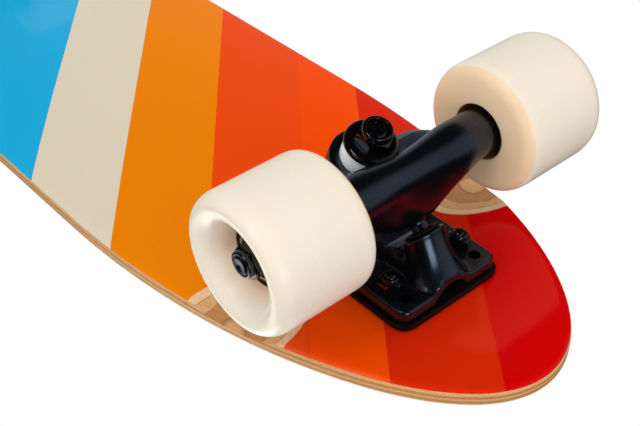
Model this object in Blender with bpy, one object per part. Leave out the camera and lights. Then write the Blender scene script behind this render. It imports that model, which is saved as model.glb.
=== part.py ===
"""Cruiser skateboard: a plied deck on two sprung trucks, with four wheels on ball bearings.

Metres, +Z up, +X towards the nose. The board stands on its wheels, with the floor at z = 0
and the origin below the middle of its length. Both trucks are built in a truck frame: origin
on the road side of the baseplate at the middle of its four bolts, +X towards that end's tip.
"""
import math

import bmesh
import bpy
from mathutils import Matrix, Vector

# Fits
SEAT_GAP = 0.0003
FIT_GAP = 0.00025

# Deck
DECK_LENGTH = 0.690
DECK_WIDTH = 0.178
PLY_COUNT = 7
PLY_THICKNESS = 0.00125
EDGE_ROUND = 0.0028
NOSE_SWEEP = 0.215
NOSE_SQUARENESS = 2.0
TAIL_SWEEP = 0.200
TAIL_SQUARENESS = 2.7
FLAT_WIDTH = 0.064
CONCAVE_RISE = 0.0030
NOSE_OVERHANG = 0.097
WHEELBASE = 0.406
NOSE_KICK_LENGTH = 0.075
NOSE_KICK_RADIUS = 0.900
NOSE_KICK_ANGLE = math.radians(1.2)
TAIL_KICK_LENGTH = 0.132
TAIL_KICK_RADIUS = 0.110
TAIL_KICK_ANGLE = math.radians(19)

# Wheel wells, scooped out of the deck above the wheels
WELL_LENGTH = 0.050
WELL_REACH = 0.037
WELL_DEPTH = 0.0040
WELL_SETBACK = 0.0095
WELL_SPREAD = 0.075

# Grip tape
GRIP_THICKNESS = 0.0008
GRIP_INSET = 0.0034

# Bolts through the deck
BOLT_SPACING_X = 0.05398
BOLT_SPACING_Y = 0.04128
SPARE_HOLE_STEP = 0.00952
BOLT_RADIUS = 0.0024
BOLT_HOLE_RADIUS = 0.00275
BOLT_HEAD_RADIUS = 0.0046
BOLT_HEAD_DEPTH = 0.0028
BOLT_STICK_OUT = 0.0010
LOCKNUT_ACROSS = 0.00953
LOCKNUT_HEX = 0.0040
LOCKNUT_COLLAR = 0.0022
LOCKNUT_WALL = 0.0012

# Riser pad and baseplate
RISER_THICKNESS = 0.0030
RISER_MARGIN = 0.0016
PLATE_LENGTH = 0.0870
PLATE_WIDTH = 0.0570
PLATE_THICKNESS = 0.0060
PLATE_CORNER = 0.0062
PLATE_EDGE_ROUND = 0.0018
SPINE_LENGTH = 0.060
SPINE_WIDTH = 0.020
SPINE_HEIGHT = 0.0050
SPINE_SLOPE = 0.0030
SPINE_CORNER = 0.0060
SADDLE_START = 0.0050
SADDLE_WIDTH = 0.0184
SADDLE_SINK = 0.0003
SADDLE_REACH = 0.0100
ARCH_WIDTH = 0.018
ARCH_HEIGHT = 0.0070
ARCH_DEPTH = 0.0095
HOOD_WIDTH = 0.034
HOOD_HEIGHT = 0.0040
HOOD_DEPTH = 0.0110

# Kingpin and what it carries, measured along it from the road side of the baseplate
KINGPIN_SETBACK = 0.0258
KINGPIN_LEAN = math.radians(22)
KINGPIN_RADIUS = 0.00475
KINGPIN_HEAD_ACROSS = 0.0143
KINGPIN_HEAD_HEIGHT = 0.0042
KINGPIN_HEAD_SINK = 0.0014
KINGPIN_END = 0.0586
BOSS_HEIGHT = 0.0145
BOSS_RADIUS = 0.0112
BOSS_FOOT_RADIUS = 0.0125
RING_CENTRE = 0.0345
RING_THICKNESS = 0.0100
RING_RADIUS = 0.0158
RING_HOLE_RADIUS = 0.0080
SEAT_DEPTH = 0.0030
RING_EDGE_ROUND = 0.0015
BUSHING_RADIUS = 0.0114
BUSHING_NECK_RADIUS = 0.0104
WASHER_RADIUS = 0.0122
WASHER_THICKNESS = 0.0014
WASHER_CUP_DEPTH = 0.0018
TOP_BUSHING_HEIGHT = 0.0127
KINGPIN_NUT_HEX = 0.0050
KINGPIN_NUT_COLLAR = 0.0033
KINGPIN_NUT_WALL = 0.0018

# Pivot at the outer end of the steering axis
PIVOT_X = 0.0300
PIVOT_DROP = 0.0110
PIVOT_LEAN = math.radians(45)
PIVOT_BALL_RADIUS = 0.0044
PIVOT_NECK_RADIUS = 0.0036
PIVOT_NECK_LENGTH = 0.0122
PIVOT_BULGE_RADIUS = 0.0066
CUP_WALL = 0.0013
CUP_FLOOR_RADIUS = 0.0032
CUP_LIP_RADIUS = 0.0080
CUP_LIP_THICKNESS = 0.0014
CUP_MOUTH_DEPTH = 0.0072
TOWER_RIM_RADIUS = 0.0096
TOWER_FOOT_LENGTH = 0.0160
TOWER_FOOT_WIDTH = 0.0184
TOWER_FOOT_X = 0.0353
POST_FLARE = 0.0030

# Hanger and axle
AXLE_X = 0.0140
AXLE_DROP = 0.0425
AXLE_RADIUS = 0.0040
AXLE_END_GAP = 0.0006
HANGER_LENGTH = 0.1046
HANGER_TUBE_RADIUS = 0.0108
HANGER_WAIST_RADIUS = 0.0083
HANGER_WAIST_REACH = 0.0280
SPEED_RING_RADIUS = 0.0058
SPEED_RING_THICKNESS = 0.0008
WING_THICKNESS = 0.0085
WING_END_GAP = 0.0015
WING_POWER = 5.5
WEB_FLAT = 0.0095
WEB_LEAST = 0.3
FIN_SINK = 0.0010
NUT_CLEARANCE = 0.0006

# Wheels and bearings
WHEEL_RADIUS = 0.0300
WHEEL_WIDTH = 0.0500
OUTER_LIP = 0.0060
INNER_LIP = 0.0060
FUNNEL_RADIUS = 0.0240
FUNNEL_FLOOR_RADIUS = 0.0135
COUNTERBORE_RADIUS = 0.0128
COUNTERBORE_DEPTH = 0.0108
CORE_BORE_RADIUS = 0.0085
BEARING_RADIUS = 0.0110
BEARING_WIDTH = 0.0070
BEARING_RING = 0.0018
SHIELD_SINK = 0.0005
SPACER_RADIUS = 0.0055
SPACER_LENGTH = 0.0100
AXLE_NUT_ACROSS = 0.0130
AXLE_NUT_HEX = 0.0052
AXLE_NUT_COLLAR = 0.0022
AXLE_NUT_FLANGE = 0.0009
AXLE_NUT_WALL = 0.0016

# Chamfers on the ends of pins and on the faces of nuts
END_CHAMFER = 0.0006

# How finely curves are drawn
WHEEL_FACETS = 20
TUBE_FACETS = 16
SMALL_FACETS = 12
BOLT_FACETS = 8
LIP_STEPS = 2
EDGE_STEPS = 2
SWEEP_STATIONS = 8
KICK_STATIONS = 3
STATION_SPACE = 0.004
COLUMNS = (0.32, 0.66)
SMOOTH_ANGLE = math.radians(35)
FLAT_ANGLE = math.radians(0.5)
MERGE_DISTANCE = 1e-5
MARKER_SIZE = 0.02

# Worked out from the sizes above
DECK_THICKNESS = PLY_COUNT * PLY_THICKNESS
HALF_WIDTH = DECK_WIDTH / 2
PLATE_ROAD_Z = WHEEL_RADIUS + AXLE_DROP
RISER_Z = PLATE_THICKNESS + SEAT_GAP
DECK_Z = RISER_Z + RISER_THICKNESS + SEAT_GAP
GRIP_LOW = DECK_THICKNESS + SEAT_GAP
GRIP_HIGH = GRIP_LOW + GRIP_THICKNESS
BOLT_X = BOLT_SPACING_X / 2
BOLT_Y = BOLT_SPACING_Y / 2
SPARE_X = BOLT_X + SPARE_HOLE_STEP
HANGER_HALF = HANGER_LENGTH / 2
INNER_BEARING_Y = HANGER_HALF + SPEED_RING_THICKNESS + SEAT_GAP
OUTER_BEARING_Y = INNER_BEARING_Y + BEARING_WIDTH + SPACER_LENGTH + 2 * SEAT_GAP
WHEEL_INNER_Y = INNER_BEARING_Y - COUNTERBORE_DEPTH
WING_END = WHEEL_INNER_Y - WING_END_GAP
AXLE_NUT_Y = OUTER_BEARING_Y + BEARING_WIDTH + SEAT_GAP
AXLE_NUT_LENGTH = AXLE_NUT_FLANGE + AXLE_NUT_HEX + AXLE_NUT_COLLAR
AXLE_HALF = AXLE_NUT_Y + AXLE_NUT_LENGTH + AXLE_END_GAP
BEARING_SEAT = BEARING_RADIUS + FIT_GAP
AXLE_BORE = AXLE_RADIUS + FIT_GAP


def clear_scene():
    """Remove every object that the file holds."""
    for obj in list(bpy.data.objects):
        bpy.data.objects.remove(obj, do_unlink=True)


def make_material(name, colour, roughness, metallic=0.0):
    """A Principled material in one plain colour."""
    material = bpy.data.materials.new(name)
    material.use_nodes = True
    shader = material.node_tree.nodes["Principled BSDF"]
    shader.inputs["Base Color"].default_value = (*colour, 1.0)
    shader.inputs["Roughness"].default_value = roughness
    shader.inputs["Metallic"].default_value = metallic
    material.diffuse_color = (*colour, 1.0)
    return material


def mesh_from(bm, name):
    """Close a bmesh into a mesh with its faces pointing out and round parts shaded smooth."""
    bmesh.ops.remove_doubles(bm, verts=bm.verts, dist=1e-6)
    bmesh.ops.recalc_face_normals(bm, faces=bm.faces)
    mesh = bpy.data.meshes.new(name)
    bm.to_mesh(mesh)
    bm.free()
    mesh.shade_smooth()
    mesh.set_sharp_from_angle(angle=SMOOTH_ANGLE)
    return mesh


def place(name, mesh, material, parent=None, matrix=None):
    """Put a mesh in the scene as a named object, under a parent and with its own material."""
    obj = bpy.data.objects.new(name, mesh)
    bpy.context.scene.collection.objects.link(obj)
    if not mesh.materials:
        mesh.materials.append(material)
    obj.parent = parent
    if matrix is not None:
        obj.matrix_local = matrix
    return obj


def add_empty(name, matrix, parent=None):
    """An empty that carries a truck or marks a joint's axis."""
    empty = bpy.data.objects.new(name, None)
    bpy.context.scene.collection.objects.link(empty)
    empty.empty_display_size = MARKER_SIZE
    empty.parent = parent
    empty.matrix_local = matrix
    return empty


def moved(mesh, matrix):
    """A copy of a mesh, moved by a matrix."""
    copy = mesh.copy()
    copy.transform(matrix)
    return copy


def combine(name, base, tools):
    """Join or cut solids: tools is a list of (operation, mesh), used in order on base."""
    target = bpy.data.objects.new(name, base)
    bpy.context.scene.collection.objects.link(target)
    cutters = []
    for operation, mesh in tools:
        cutter = bpy.data.objects.new(name + "_tool", mesh)
        bpy.context.scene.collection.objects.link(cutter)
        cutter.hide_render = True
        cutter.display_type = "WIRE"
        modifier = target.modifiers.new(operation.lower(), "BOOLEAN")
        modifier.operation = operation
        modifier.solver = "EXACT"
        modifier.object = cutter
        cutters.append(cutter)
    evaluated = target.evaluated_get(bpy.context.evaluated_depsgraph_get())
    bm = bmesh.new()
    bm.from_mesh(evaluated.to_mesh())
    for obj in [target] + cutters:
        bpy.data.objects.remove(obj, do_unlink=True)
    bmesh.ops.remove_doubles(bm, verts=bm.verts, dist=MERGE_DISTANCE)
    bmesh.ops.dissolve_limit(bm, angle_limit=FLAT_ANGLE, verts=bm.verts, edges=bm.edges)
    bmesh.ops.triangulate(bm, faces=bm.faces)
    return mesh_from(bm, name)


def turned(name, profile, facets):
    """Turn an outline of (radius, height) points about Z; it may start and end on the axis."""
    bm = bmesh.new()
    verts = [bm.verts.new((radius, 0.0, height)) for radius, height in profile]
    pairs = zip(verts, verts[1:] + verts[:1])
    edges = [bm.edges.new(pair) for pair in pairs if pair[0].co.x > 0 or pair[1].co.x > 0]
    bmesh.ops.spin(bm, geom=verts + edges, cent=(0, 0, 0), axis=(0, 0, 1),
                   angle=2 * math.pi, steps=facets, use_merge=True, use_duplicate=False)
    return mesh_from(bm, name)


def lofted(name, rings):
    """Skin a list of closed rings, each with as many points, and close both ends."""
    bm = bmesh.new()
    loops = [[bm.verts.new(point) for point in ring] for ring in rings]
    count = len(loops[0])
    for low, high in zip(loops, loops[1:]):
        for i in range(count):
            j = (i + 1) % count
            bm.faces.new((low[i], low[j], high[j], high[i]))
    bm.faces.new(loops[0][::-1])
    bm.faces.new(loops[-1])
    return mesh_from(bm, name)


def cylinder(name, radius, low, high, facets):
    """A cylinder along Z between two heights."""
    return lofted(name, [circle(radius, height, facets) for height in (low, high)])


def circle(radius, height, facets):
    """Points round the Z axis at one height."""
    angles = [2 * math.pi * i / facets for i in range(facets)]
    return [Vector((radius * math.cos(a), radius * math.sin(a), height)) for a in angles]


def rounded_rectangle(length, width, corner, height, steps=2):
    """Points of a rectangle with round corners, centred on the Z axis."""
    points = []
    for quarter in range(4):
        sx = 1 if quarter in (0, 3) else -1
        sy = 1 if quarter in (0, 1) else -1
        centre = Vector((sx * (length / 2 - corner), sy * (width / 2 - corner), height))
        for step in range(steps + 1):
            angle = math.pi / 2 * (quarter + step / steps)
            points.append(centre + corner * Vector((math.cos(angle), math.sin(angle), 0)))
    return points


def arc(centre, radius, start, end, steps):
    """Points (a, b) on an arc, with angles in degrees."""
    angles = [math.radians(start + (end - start) * i / steps) for i in range(steps + 1)]
    return [(centre[0] + radius * math.cos(a), centre[1] + radius * math.sin(a)) for a in angles]


def bend(along):
    """Deck's side view: distance along the board to x, z and slope of its underside."""
    tip, tail = NOSE_OVERHANG, NOSE_OVERHANG - DECK_LENGTH
    if along > tip - NOSE_KICK_LENGTH:
        start, side = tip - NOSE_KICK_LENGTH, 1
        radius, angle = NOSE_KICK_RADIUS, NOSE_KICK_ANGLE
    elif along < tail + TAIL_KICK_LENGTH:
        start, side = tail + TAIL_KICK_LENGTH, -1
        radius, angle = TAIL_KICK_RADIUS, TAIL_KICK_ANGLE
    else:
        return along, 0.0, 0.0
    past = abs(along - start)
    turned_angle = min(past / radius, angle)
    straight = max(past - radius * angle, 0.0)
    run = radius * math.sin(turned_angle) + straight * math.cos(angle)
    rise = radius * (1 - math.cos(turned_angle)) + straight * math.sin(angle)
    return start + side * run, rise, side * turned_angle


def concave(across):
    """How far the deck curves up, at a distance across from its middle."""
    past = max(abs(across) - FLAT_WIDTH / 2, 0.0)
    return CONCAVE_RISE * (past / (HALF_WIDTH - FLAT_WIDTH / 2)) ** 2


def on_deck(along, across, height):
    """A point at a height above the deck's underside, bent with the board."""
    x, z, slope = bend(along)
    lift = concave(across) + height
    return Vector((x - lift * math.sin(slope), across, z + lift * math.cos(slope)))


def outline_point(along):
    """Half width of the deck, and the outward direction of its edge."""
    nose_start = NOSE_OVERHANG - NOSE_SWEEP
    tail_start = NOSE_OVERHANG - DECK_LENGTH + TAIL_SWEEP
    if along > nose_start:
        sweep, power, part = NOSE_SWEEP, NOSE_SQUARENESS, (along - nose_start) / NOSE_SWEEP
        side = 1
    elif along < tail_start:
        sweep, power, part = TAIL_SWEEP, TAIL_SQUARENESS, (tail_start - along) / TAIL_SWEEP
        side = -1
    else:
        return HALF_WIDTH, Vector((0, 1))
    part = min(part, 1.0)
    wide = (1 - part ** power) ** (1 / power)
    normal = Vector((side * part ** (power - 1) / sweep, wide ** (power - 1) / HALF_WIDTH))
    return HALF_WIDTH * wide, normal.normalized()


def deck_stations():
    """Places along the board where the deck has a row of points, from nose to tail."""
    tip, tail = NOSE_OVERHANG, NOSE_OVERHANG - DECK_LENGTH
    quarter = [math.pi / 2 * i / SWEEP_STATIONS for i in range(SWEEP_STATIONS + 1)]
    nose = [tip - NOSE_SWEEP * (1 - math.cos(a)) for a in quarter]
    rear = [tail + TAIL_SWEEP * (1 - math.cos(a) ** (2 / TAIL_SQUARENESS)) for a in quarter]
    bend_start = tail + TAIL_KICK_LENGTH
    bend_length = TAIL_KICK_RADIUS * TAIL_KICK_ANGLE
    kick = [bend_start - bend_length * i / KICK_STATIONS for i in range(KICK_STATIONS + 1)]
    kept = [x for x in rear if not kick[-1] - STATION_SPACE < x < kick[0] + STATION_SPACE]
    middle = (nose[-1] + rear[-1]) / 2
    return sorted(nose + kept + kick + [middle], reverse=True)


def board_shell(name, low, high, inset, edge_round, edge_steps):
    """A slab that follows the deck between two heights, with its outline drawn in by inset."""
    quarter = [math.pi / 2 * i / max(edge_steps, 1) for i in range(edge_steps + 1)]
    rim = [(edge_round * (1 - math.sin(a)), low + edge_round * (1 - math.cos(a))) for a in quarter]
    rim += [(draw, low + high - height) for draw, height in reversed(rim)]
    columns = [-c for c in reversed(COLUMNS)] + [0.0] + list(COLUMNS)
    bm = bmesh.new()
    rows = []
    for along in deck_stations():
        half, normal = outline_point(along)
        tip = half < MERGE_DISTANCE
        row = {"left": [], "right": [], "low": [], "high": []}
        for draw, height in rim:
            u = along - normal.x * (inset + draw)
            v = max(half - normal.y * (inset + draw), 0.0)
            row["left"].append(bm.verts.new(on_deck(u, v, height)))
            row["right"].append(row["left"][-1] if tip else bm.verts.new(on_deck(u, -v, height)))
        for key, (draw, height) in (("low", rim[0]), ("high", rim[-1])):
            edge = 0 if key == "low" else -1
            u = along - normal.x * (inset + draw)
            v = max(half - normal.y * (inset + draw), 0.0)
            inner = [] if tip else [bm.verts.new(on_deck(u, v * c, height)) for c in columns]
            row[key] = [row["right"][edge]] + inner + [row["left"][edge]]
        row["tip"] = tip
        rows.append(row)
    for a, b in zip(rows, rows[1:]):
        for side in ("left", "right"):
            for k in range(len(rim) - 1):
                skin_face(bm, (a[side][k], b[side][k], b[side][k + 1], a[side][k + 1]))
        for key in ("low", "high"):
            skin_strip(bm, a, b, key)
    return mesh_from(bm, name)


def skin_strip(bm, a, b, key):
    """Faces between two rows of the deck, one of which may be a single point at a tip."""
    if a["tip"] or b["tip"]:
        point, line = (a, b) if a["tip"] else (b, a)
        for left, right in zip(line[key], line[key][1:]):
            skin_face(bm, (point[key][0], left, right))
        return
    for k in range(len(a[key]) - 1):
        skin_face(bm, (a[key][k], a[key][k + 1], b[key][k + 1], b[key][k]))


def skin_face(bm, verts):
    """A face through the points, without repeats."""
    unique = list(dict.fromkeys(verts))
    if len(unique) > 2:
        bm.faces.new(unique)


def bolt_places():
    """The four bolts of a truck, in the truck frame, by name."""
    return {"outer_left": (BOLT_X, BOLT_Y), "outer_right": (BOLT_X, -BOLT_Y),
            "inner_left": (-BOLT_X, BOLT_Y), "inner_right": (-BOLT_X, -BOLT_Y)}


def truck_matrices():
    """Where the truck frames stand, in the deck's frame: the front one, and the rear turned."""
    front = Matrix.Identity(4)
    rear = Matrix.Translation((-WHEELBASE, 0, 0)) @ Matrix.Rotation(math.pi, 4, "Z")
    return {"front": front, "rear": rear}


def bolt_head_cutters(gap):
    """Cutters for the countersunk holes of both trucks, in the deck's frame."""
    flare = BOLT_HEAD_RADIUS + gap
    start = GRIP_HIGH - BOLT_HEAD_DEPTH - gap
    over = PLY_THICKNESS
    profile = [(0, -over), (BOLT_HOLE_RADIUS, -over), (BOLT_HOLE_RADIUS, start),
               (flare, GRIP_HIGH - gap), (flare, GRIP_HIGH + over), (0, GRIP_HIGH + over)]
    hole = turned("bolt_hole", profile, BOLT_FACETS)
    cutters = []
    for matrix in truck_matrices().values():
        for x, y in bolt_places().values():
            cutters.append(("DIFFERENCE", moved(hole, matrix @ Matrix.Translation((x, y, 0)))))
    return cutters


def well_cutters():
    """Cutters for the four wheel wells: shallow dishes that follow the deck's concave."""
    half = WELL_LENGTH / 2
    inner_z, centre_z = concave(WELL_SPREAD - WELL_REACH), concave(WELL_SPREAD)
    tilt = math.atan2(centre_z - inner_z, WELL_REACH)
    rings = 3
    sphere = (half ** 2 + WELL_DEPTH ** 2) / (2 * WELL_DEPTH)
    profile = [(0, WELL_DEPTH)]
    for i in range(1, rings + 1):
        radius = half * i / rings
        profile.append((radius, math.sqrt(sphere ** 2 - radius ** 2) - sphere + WELL_DEPTH))
    profile += [(half + WELL_DEPTH, -WELL_DEPTH), (0, -WELL_DEPTH)]
    dish = turned("well", profile, SMALL_FACETS)
    dish.transform(Matrix.Scale(WELL_REACH / half, 4, (0, 1, 0)))
    cutters = []
    for matrix in truck_matrices().values():
        for side in (1, -1):
            spot = Matrix.Translation((-WELL_SETBACK, side * WELL_SPREAD, centre_z))
            tilted = Matrix.Rotation(side * tilt, 4, "X")
            cutters.append(("DIFFERENCE", moved(dish, matrix @ spot @ tilted)))
    return cutters


def kingpin_frame():
    """Origin where the kingpin leaves the plate, with +Z along it towards the road."""
    turn = Matrix.Rotation(math.pi - KINGPIN_LEAN, 4, "Y")
    return Matrix.Translation((-KINGPIN_SETBACK, 0, 0)) @ turn


def ring_frame():
    """Origin at the middle of the hanger's ring, with +Z along the kingpin to the deck."""
    centre = kingpin_frame() @ Vector((0, 0, RING_CENTRE))
    return Matrix.Translation(centre) @ Matrix.Rotation(-KINGPIN_LEAN, 4, "Y")


def pivot_frame():
    """Origin at the pivot ball, with +Z back out of the cup along the pivot pin."""
    turn = Matrix.Rotation(-math.pi / 2 - PIVOT_LEAN, 4, "Y")
    return Matrix.Translation((PIVOT_X, 0, -PIVOT_DROP)) @ turn


def steer_frame():
    """Origin at the middle of the ring, with +X along the steering axis to the pivot ball."""
    centre, ball = ring_frame().translation, pivot_frame().translation
    slope = math.atan2(ball.z - centre.z, ball.x - centre.x)
    return Matrix.Translation(centre) @ Matrix.Rotation(-slope, 4, "Y")


def riser_mesh():
    """Rubber pad between the deck and the baseplate."""
    length, width = PLATE_LENGTH + 2 * RISER_MARGIN, PLATE_WIDTH + 2 * RISER_MARGIN
    corner = PLATE_CORNER + RISER_MARGIN
    heights = (RISER_Z, RISER_Z + RISER_THICKNESS)
    pad = lofted("riser_pad", [rounded_rectangle(length, width, corner, z) for z in heights])
    return combine("riser_pad", pad, plate_holes(RISER_Z, RISER_Z + RISER_THICKNESS))


def plate_holes(low, high):
    """Cutters for the four bolts and the spare outer pair."""
    over = SEAT_GAP
    hole = cylinder("hole", BOLT_HOLE_RADIUS, low - over, high + over, BOLT_FACETS)
    spots = list(bolt_places().values()) + [(SPARE_X, BOLT_Y), (SPARE_X, -BOLT_Y)]
    return [("DIFFERENCE", moved(hole, Matrix.Translation((x, y, 0)))) for x, y in spots]


def flared_post(name, foot_x, foot_length, foot_width, frame, radius, height):
    """An oval foot on the plate, drawn up into a rim that lies square to a slanted frame."""
    steps = 3
    rings = []
    for i in range(steps + 1):
        part = i / steps
        flare = POST_FLARE * (1 - part) ** 3
        ring = []
        for k in range(TUBE_FACETS):
            angle = 2 * math.pi * k / TUBE_FACETS
            ahead, across = math.cos(angle), math.sin(angle)
            foot = Vector((foot_x + foot_length / 2 * ahead, foot_width / 2 * across,
                           PLATE_THICKNESS / 3))
            rim = frame @ Vector((-radius * ahead, radius * across, height))
            point = foot.lerp(rim, part)
            point.x = min(point.x + flare * ahead, PLATE_LENGTH / 2 - SEAT_GAP)
            point.y += flare * across
            ring.append(point)
        rings.append(ring)
    return lofted(name, rings)


def hood_mesh():
    """The plate's rounded brow over the arch, from its front edge back into the tower."""
    steps = 8
    sink = PLATE_EDGE_ROUND / 3
    front = PLATE_LENGTH / 2 - PLATE_EDGE_ROUND / 2
    rings = []
    for x, drop in ((front - HOOD_DEPTH, 0.0), (front - PLATE_EDGE_ROUND, 0.0),
                    (front, PLATE_EDGE_ROUND / 2)):
        ring = []
        for i in range(steps + 1):
            across = HOOD_WIDTH / 2 * (2 * i / steps - 1)
            brow = (HOOD_HEIGHT + sink) * math.cos(math.pi * across / HOOD_WIDTH) ** 2 - sink
            ring.append(Vector((x, across, drop - brow)))
        deep = PLATE_THICKNESS / 2
        ring += [Vector((x, HOOD_WIDTH / 2, deep)), Vector((x, -HOOD_WIDTH / 2, deep))]
        rings.append(ring)
    return lofted("hood", rings)


def saddle_mesh():
    """Curved ramp from the spine up to the back of the pivot tower's rim."""
    steps = 3
    rim = pivot_frame() @ Vector((TOWER_RIM_RADIUS, 0, CUP_MOUTH_DEPTH))
    soft = SPINE_HEIGHT / 5
    low, high = soft - SPINE_HEIGHT, rim.z + SADDLE_SINK
    ramp = [(i / steps, (i / steps) ** 2) for i in range(steps + 1)]
    places = [(SADDLE_START + run * (rim.x - SADDLE_START), low + rise * (high - low))
              for run, rise in ramp]
    places.append((rim.x + SADDLE_REACH, high))
    rings = []
    for x, top in places:
        half = SADDLE_WIDTH / 2
        side = [(half + SPINE_SLOPE, PLATE_THICKNESS / 3), (half, top + soft),
                (half - soft, top)]
        side += [(-y, z) for y, z in reversed(side)]
        rings.append([Vector((x, y, z)) for y, z in side])
    return lofted("saddle", rings)


def baseplate_mesh():
    """Cast plate with its kingpin boss, spine, saddle, pivot tower, cup bore and arch."""
    edge = PLATE_EDGE_ROUND
    profile = [(0, PLATE_THICKNESS)] + arc((edge, edge), edge, 180, 270, EDGE_STEPS)
    rings = [rounded_rectangle(PLATE_LENGTH - 2 * inset, PLATE_WIDTH - 2 * inset,
                               PLATE_CORNER - inset, z) for inset, z in profile]
    plate = lofted("baseplate", rings)
    soft = SPINE_HEIGHT / 5
    spine = lofted("spine", [
        rounded_rectangle(SPINE_LENGTH + 2 * grow, SPINE_WIDTH + 2 * grow, SPINE_CORNER + grow, z)
        for grow, z in ((SPINE_SLOPE, PLATE_THICKNESS / 3), (0, soft - SPINE_HEIGHT),
                        (-soft, -SPINE_HEIGHT))])
    kingpin, pivot = kingpin_frame(), pivot_frame()
    through = 2 * BOSS_HEIGHT
    bore = cylinder("bore", KINGPIN_RADIUS + FIT_GAP, -through, through, SMALL_FACETS)
    recess_radius = KINGPIN_HEAD_ACROSS / math.sqrt(3) + 2 * FIT_GAP
    recess = cylinder("recess", recess_radius, -through, KINGPIN_HEAD_SINK + SEAT_GAP, TUBE_FACETS)
    outline = cup_outline(FIT_GAP)
    over = 2 * CUP_MOUTH_DEPTH
    cup_bore = turned("cup_bore", outline[:-1] + [(outline[-1][0], over), (0, over)], TUBE_FACETS)
    arch = lofted("arch", [
        [Vector((x, ARCH_WIDTH / 2 * a, PLATE_THICKNESS - ARCH_HEIGHT * b)) for a, b in
         arc((0, 0), 1, 0, 180, 8) + [(-1, -1), (1, -1)]]
        for x in (PLATE_LENGTH / 2 - ARCH_DEPTH, PLATE_LENGTH / 2 + ARCH_DEPTH)])
    boss = flared_post("boss", -KINGPIN_SETBACK, 2 * BOSS_FOOT_RADIUS, 2 * BOSS_FOOT_RADIUS,
                       kingpin, BOSS_RADIUS, BOSS_HEIGHT)
    tower = flared_post("tower", TOWER_FOOT_X, TOWER_FOOT_LENGTH, TOWER_FOOT_WIDTH, pivot,
                        TOWER_RIM_RADIUS, CUP_MOUTH_DEPTH)
    raised = (spine, boss, saddle_mesh(), tower, hood_mesh())
    casting = combine("baseplate", plate, [("UNION", mesh) for mesh in raised])
    cuts = [moved(bore, kingpin), moved(recess, kingpin), moved(cup_bore, pivot), arch]
    cuts = [("DIFFERENCE", mesh) for mesh in cuts]
    return combine("baseplate", casting, cuts + plate_holes(0, PLATE_THICKNESS))


def cup_outline(gap):
    """Outer side of the pivot cup from its floor to its rim, drawn out by a gap."""
    floor = CUP_FLOOR_RADIUS + gap / 2
    radius = PIVOT_BALL_RADIUS + FIT_GAP + CUP_WALL + gap
    return [(0, -radius), (floor, -radius), (radius, 0), (radius, CUP_MOUTH_DEPTH)]


def pivot_cup_mesh():
    """Soft cup in the tower, with a lip on its rim and a round seat for the ball."""
    inner = PIVOT_BALL_RADIUS + FIT_GAP
    lip_low = CUP_MOUTH_DEPTH + SEAT_GAP
    lip_high = lip_low + CUP_LIP_THICKNESS
    outer = cup_outline(0.0)
    seat = arc((0, 0), inner, -90, 0, 3)
    profile = [(0, -inner)] + seat[1:] + [(inner + CUP_WALL / 2, lip_high), (CUP_LIP_RADIUS, lip_high),
                                         (CUP_LIP_RADIUS, lip_low), (outer[-1][0], lip_low)]
    return turned("pivot_cup", profile + outer[-2::-1], SMALL_FACETS)


def hex_nut_mesh(name, across, bore, hex_height, collar_height, wall, flange=0.0, chamfer=0.0):
    """Lock nut along Z: an optional round flange, the hexagon and its round collar."""
    top = flange + hex_height
    outline = [circle(across / math.sqrt(3), 0, 12)] if flange else []
    outline += [hexagon(across, flange), hexagon(across, top - chamfer)]
    if chamfer:
        outline.append(circle(across / 2 - chamfer / 3, top, 12))
    outline += [circle(bore + wall, top, 12), circle(bore + wall / 2, top + collar_height, 12)]
    outer = lofted(name, outline)
    facets = SMALL_FACETS if chamfer else BOLT_FACETS
    tool = cylinder("bore", bore, -SEAT_GAP, top + collar_height + SEAT_GAP, facets)
    return combine(name, outer, [("DIFFERENCE", tool)])


def hexagon(across, height):
    """Twelve points round a hexagon: its corners and the middles of its flats."""
    points = []
    for i in range(12):
        radius = across / math.sqrt(3) if i % 2 == 0 else across / 2
        point = radius * direction(30 * i)
        points.append(Vector((point.x, point.y, height)))
    return points


def kingpin_mesh():
    """Bolt with a hexagon head sunk in the plate, in the kingpin frame."""
    head_low = KINGPIN_HEAD_SINK - KINGPIN_HEAD_HEIGHT
    head = lofted("kingpin", [hexagon(KINGPIN_HEAD_ACROSS, z) for z in (head_low, KINGPIN_HEAD_SINK)])
    shank = lofted("shank", [circle(KINGPIN_RADIUS, head_low / 2, SMALL_FACETS),
                             circle(KINGPIN_RADIUS, KINGPIN_END - END_CHAMFER, SMALL_FACETS),
                             circle(KINGPIN_RADIUS - END_CHAMFER, KINGPIN_END, SMALL_FACETS)])
    return combine("kingpin", head, [("UNION", shank)])


def stack_heights():
    """Heights along the kingpin of the washers, bushings and nut, worked out from the ring."""
    low_washer = BOSS_HEIGHT + SEAT_GAP
    low_bushing = low_washer + WASHER_THICKNESS + SEAT_GAP
    low_seat = RING_CENTRE - RING_THICKNESS / 2 + SEAT_DEPTH - SEAT_GAP
    top_seat = RING_CENTRE + RING_THICKNESS / 2 - SEAT_DEPTH + SEAT_GAP
    top_washer = top_seat + TOP_BUSHING_HEIGHT + SEAT_GAP
    nut = top_washer + WASHER_THICKNESS + SEAT_GAP
    return low_washer, low_bushing, low_seat, top_seat, top_washer, nut


def bushing_mesh(name, low, high, neck_low):
    """Soft bushing with a hole for the kingpin; the end at the washer is drawn in."""
    hole = KINGPIN_RADIUS + FIT_GAP
    wide, neck = BUSHING_RADIUS, BUSHING_NECK_RADIUS
    height = high - low
    if neck_low:
        outline = [(neck, low), (neck, low + WASHER_CUP_DEPTH), (wide, low + height / 2), (wide, high)]
    else:
        outline = [(wide, low), (wide, low + height / 2), (neck, high - WASHER_CUP_DEPTH), (neck, high)]
    return turned(name, [(hole, low)] + outline + [(hole, high)], SMALL_FACETS)


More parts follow.
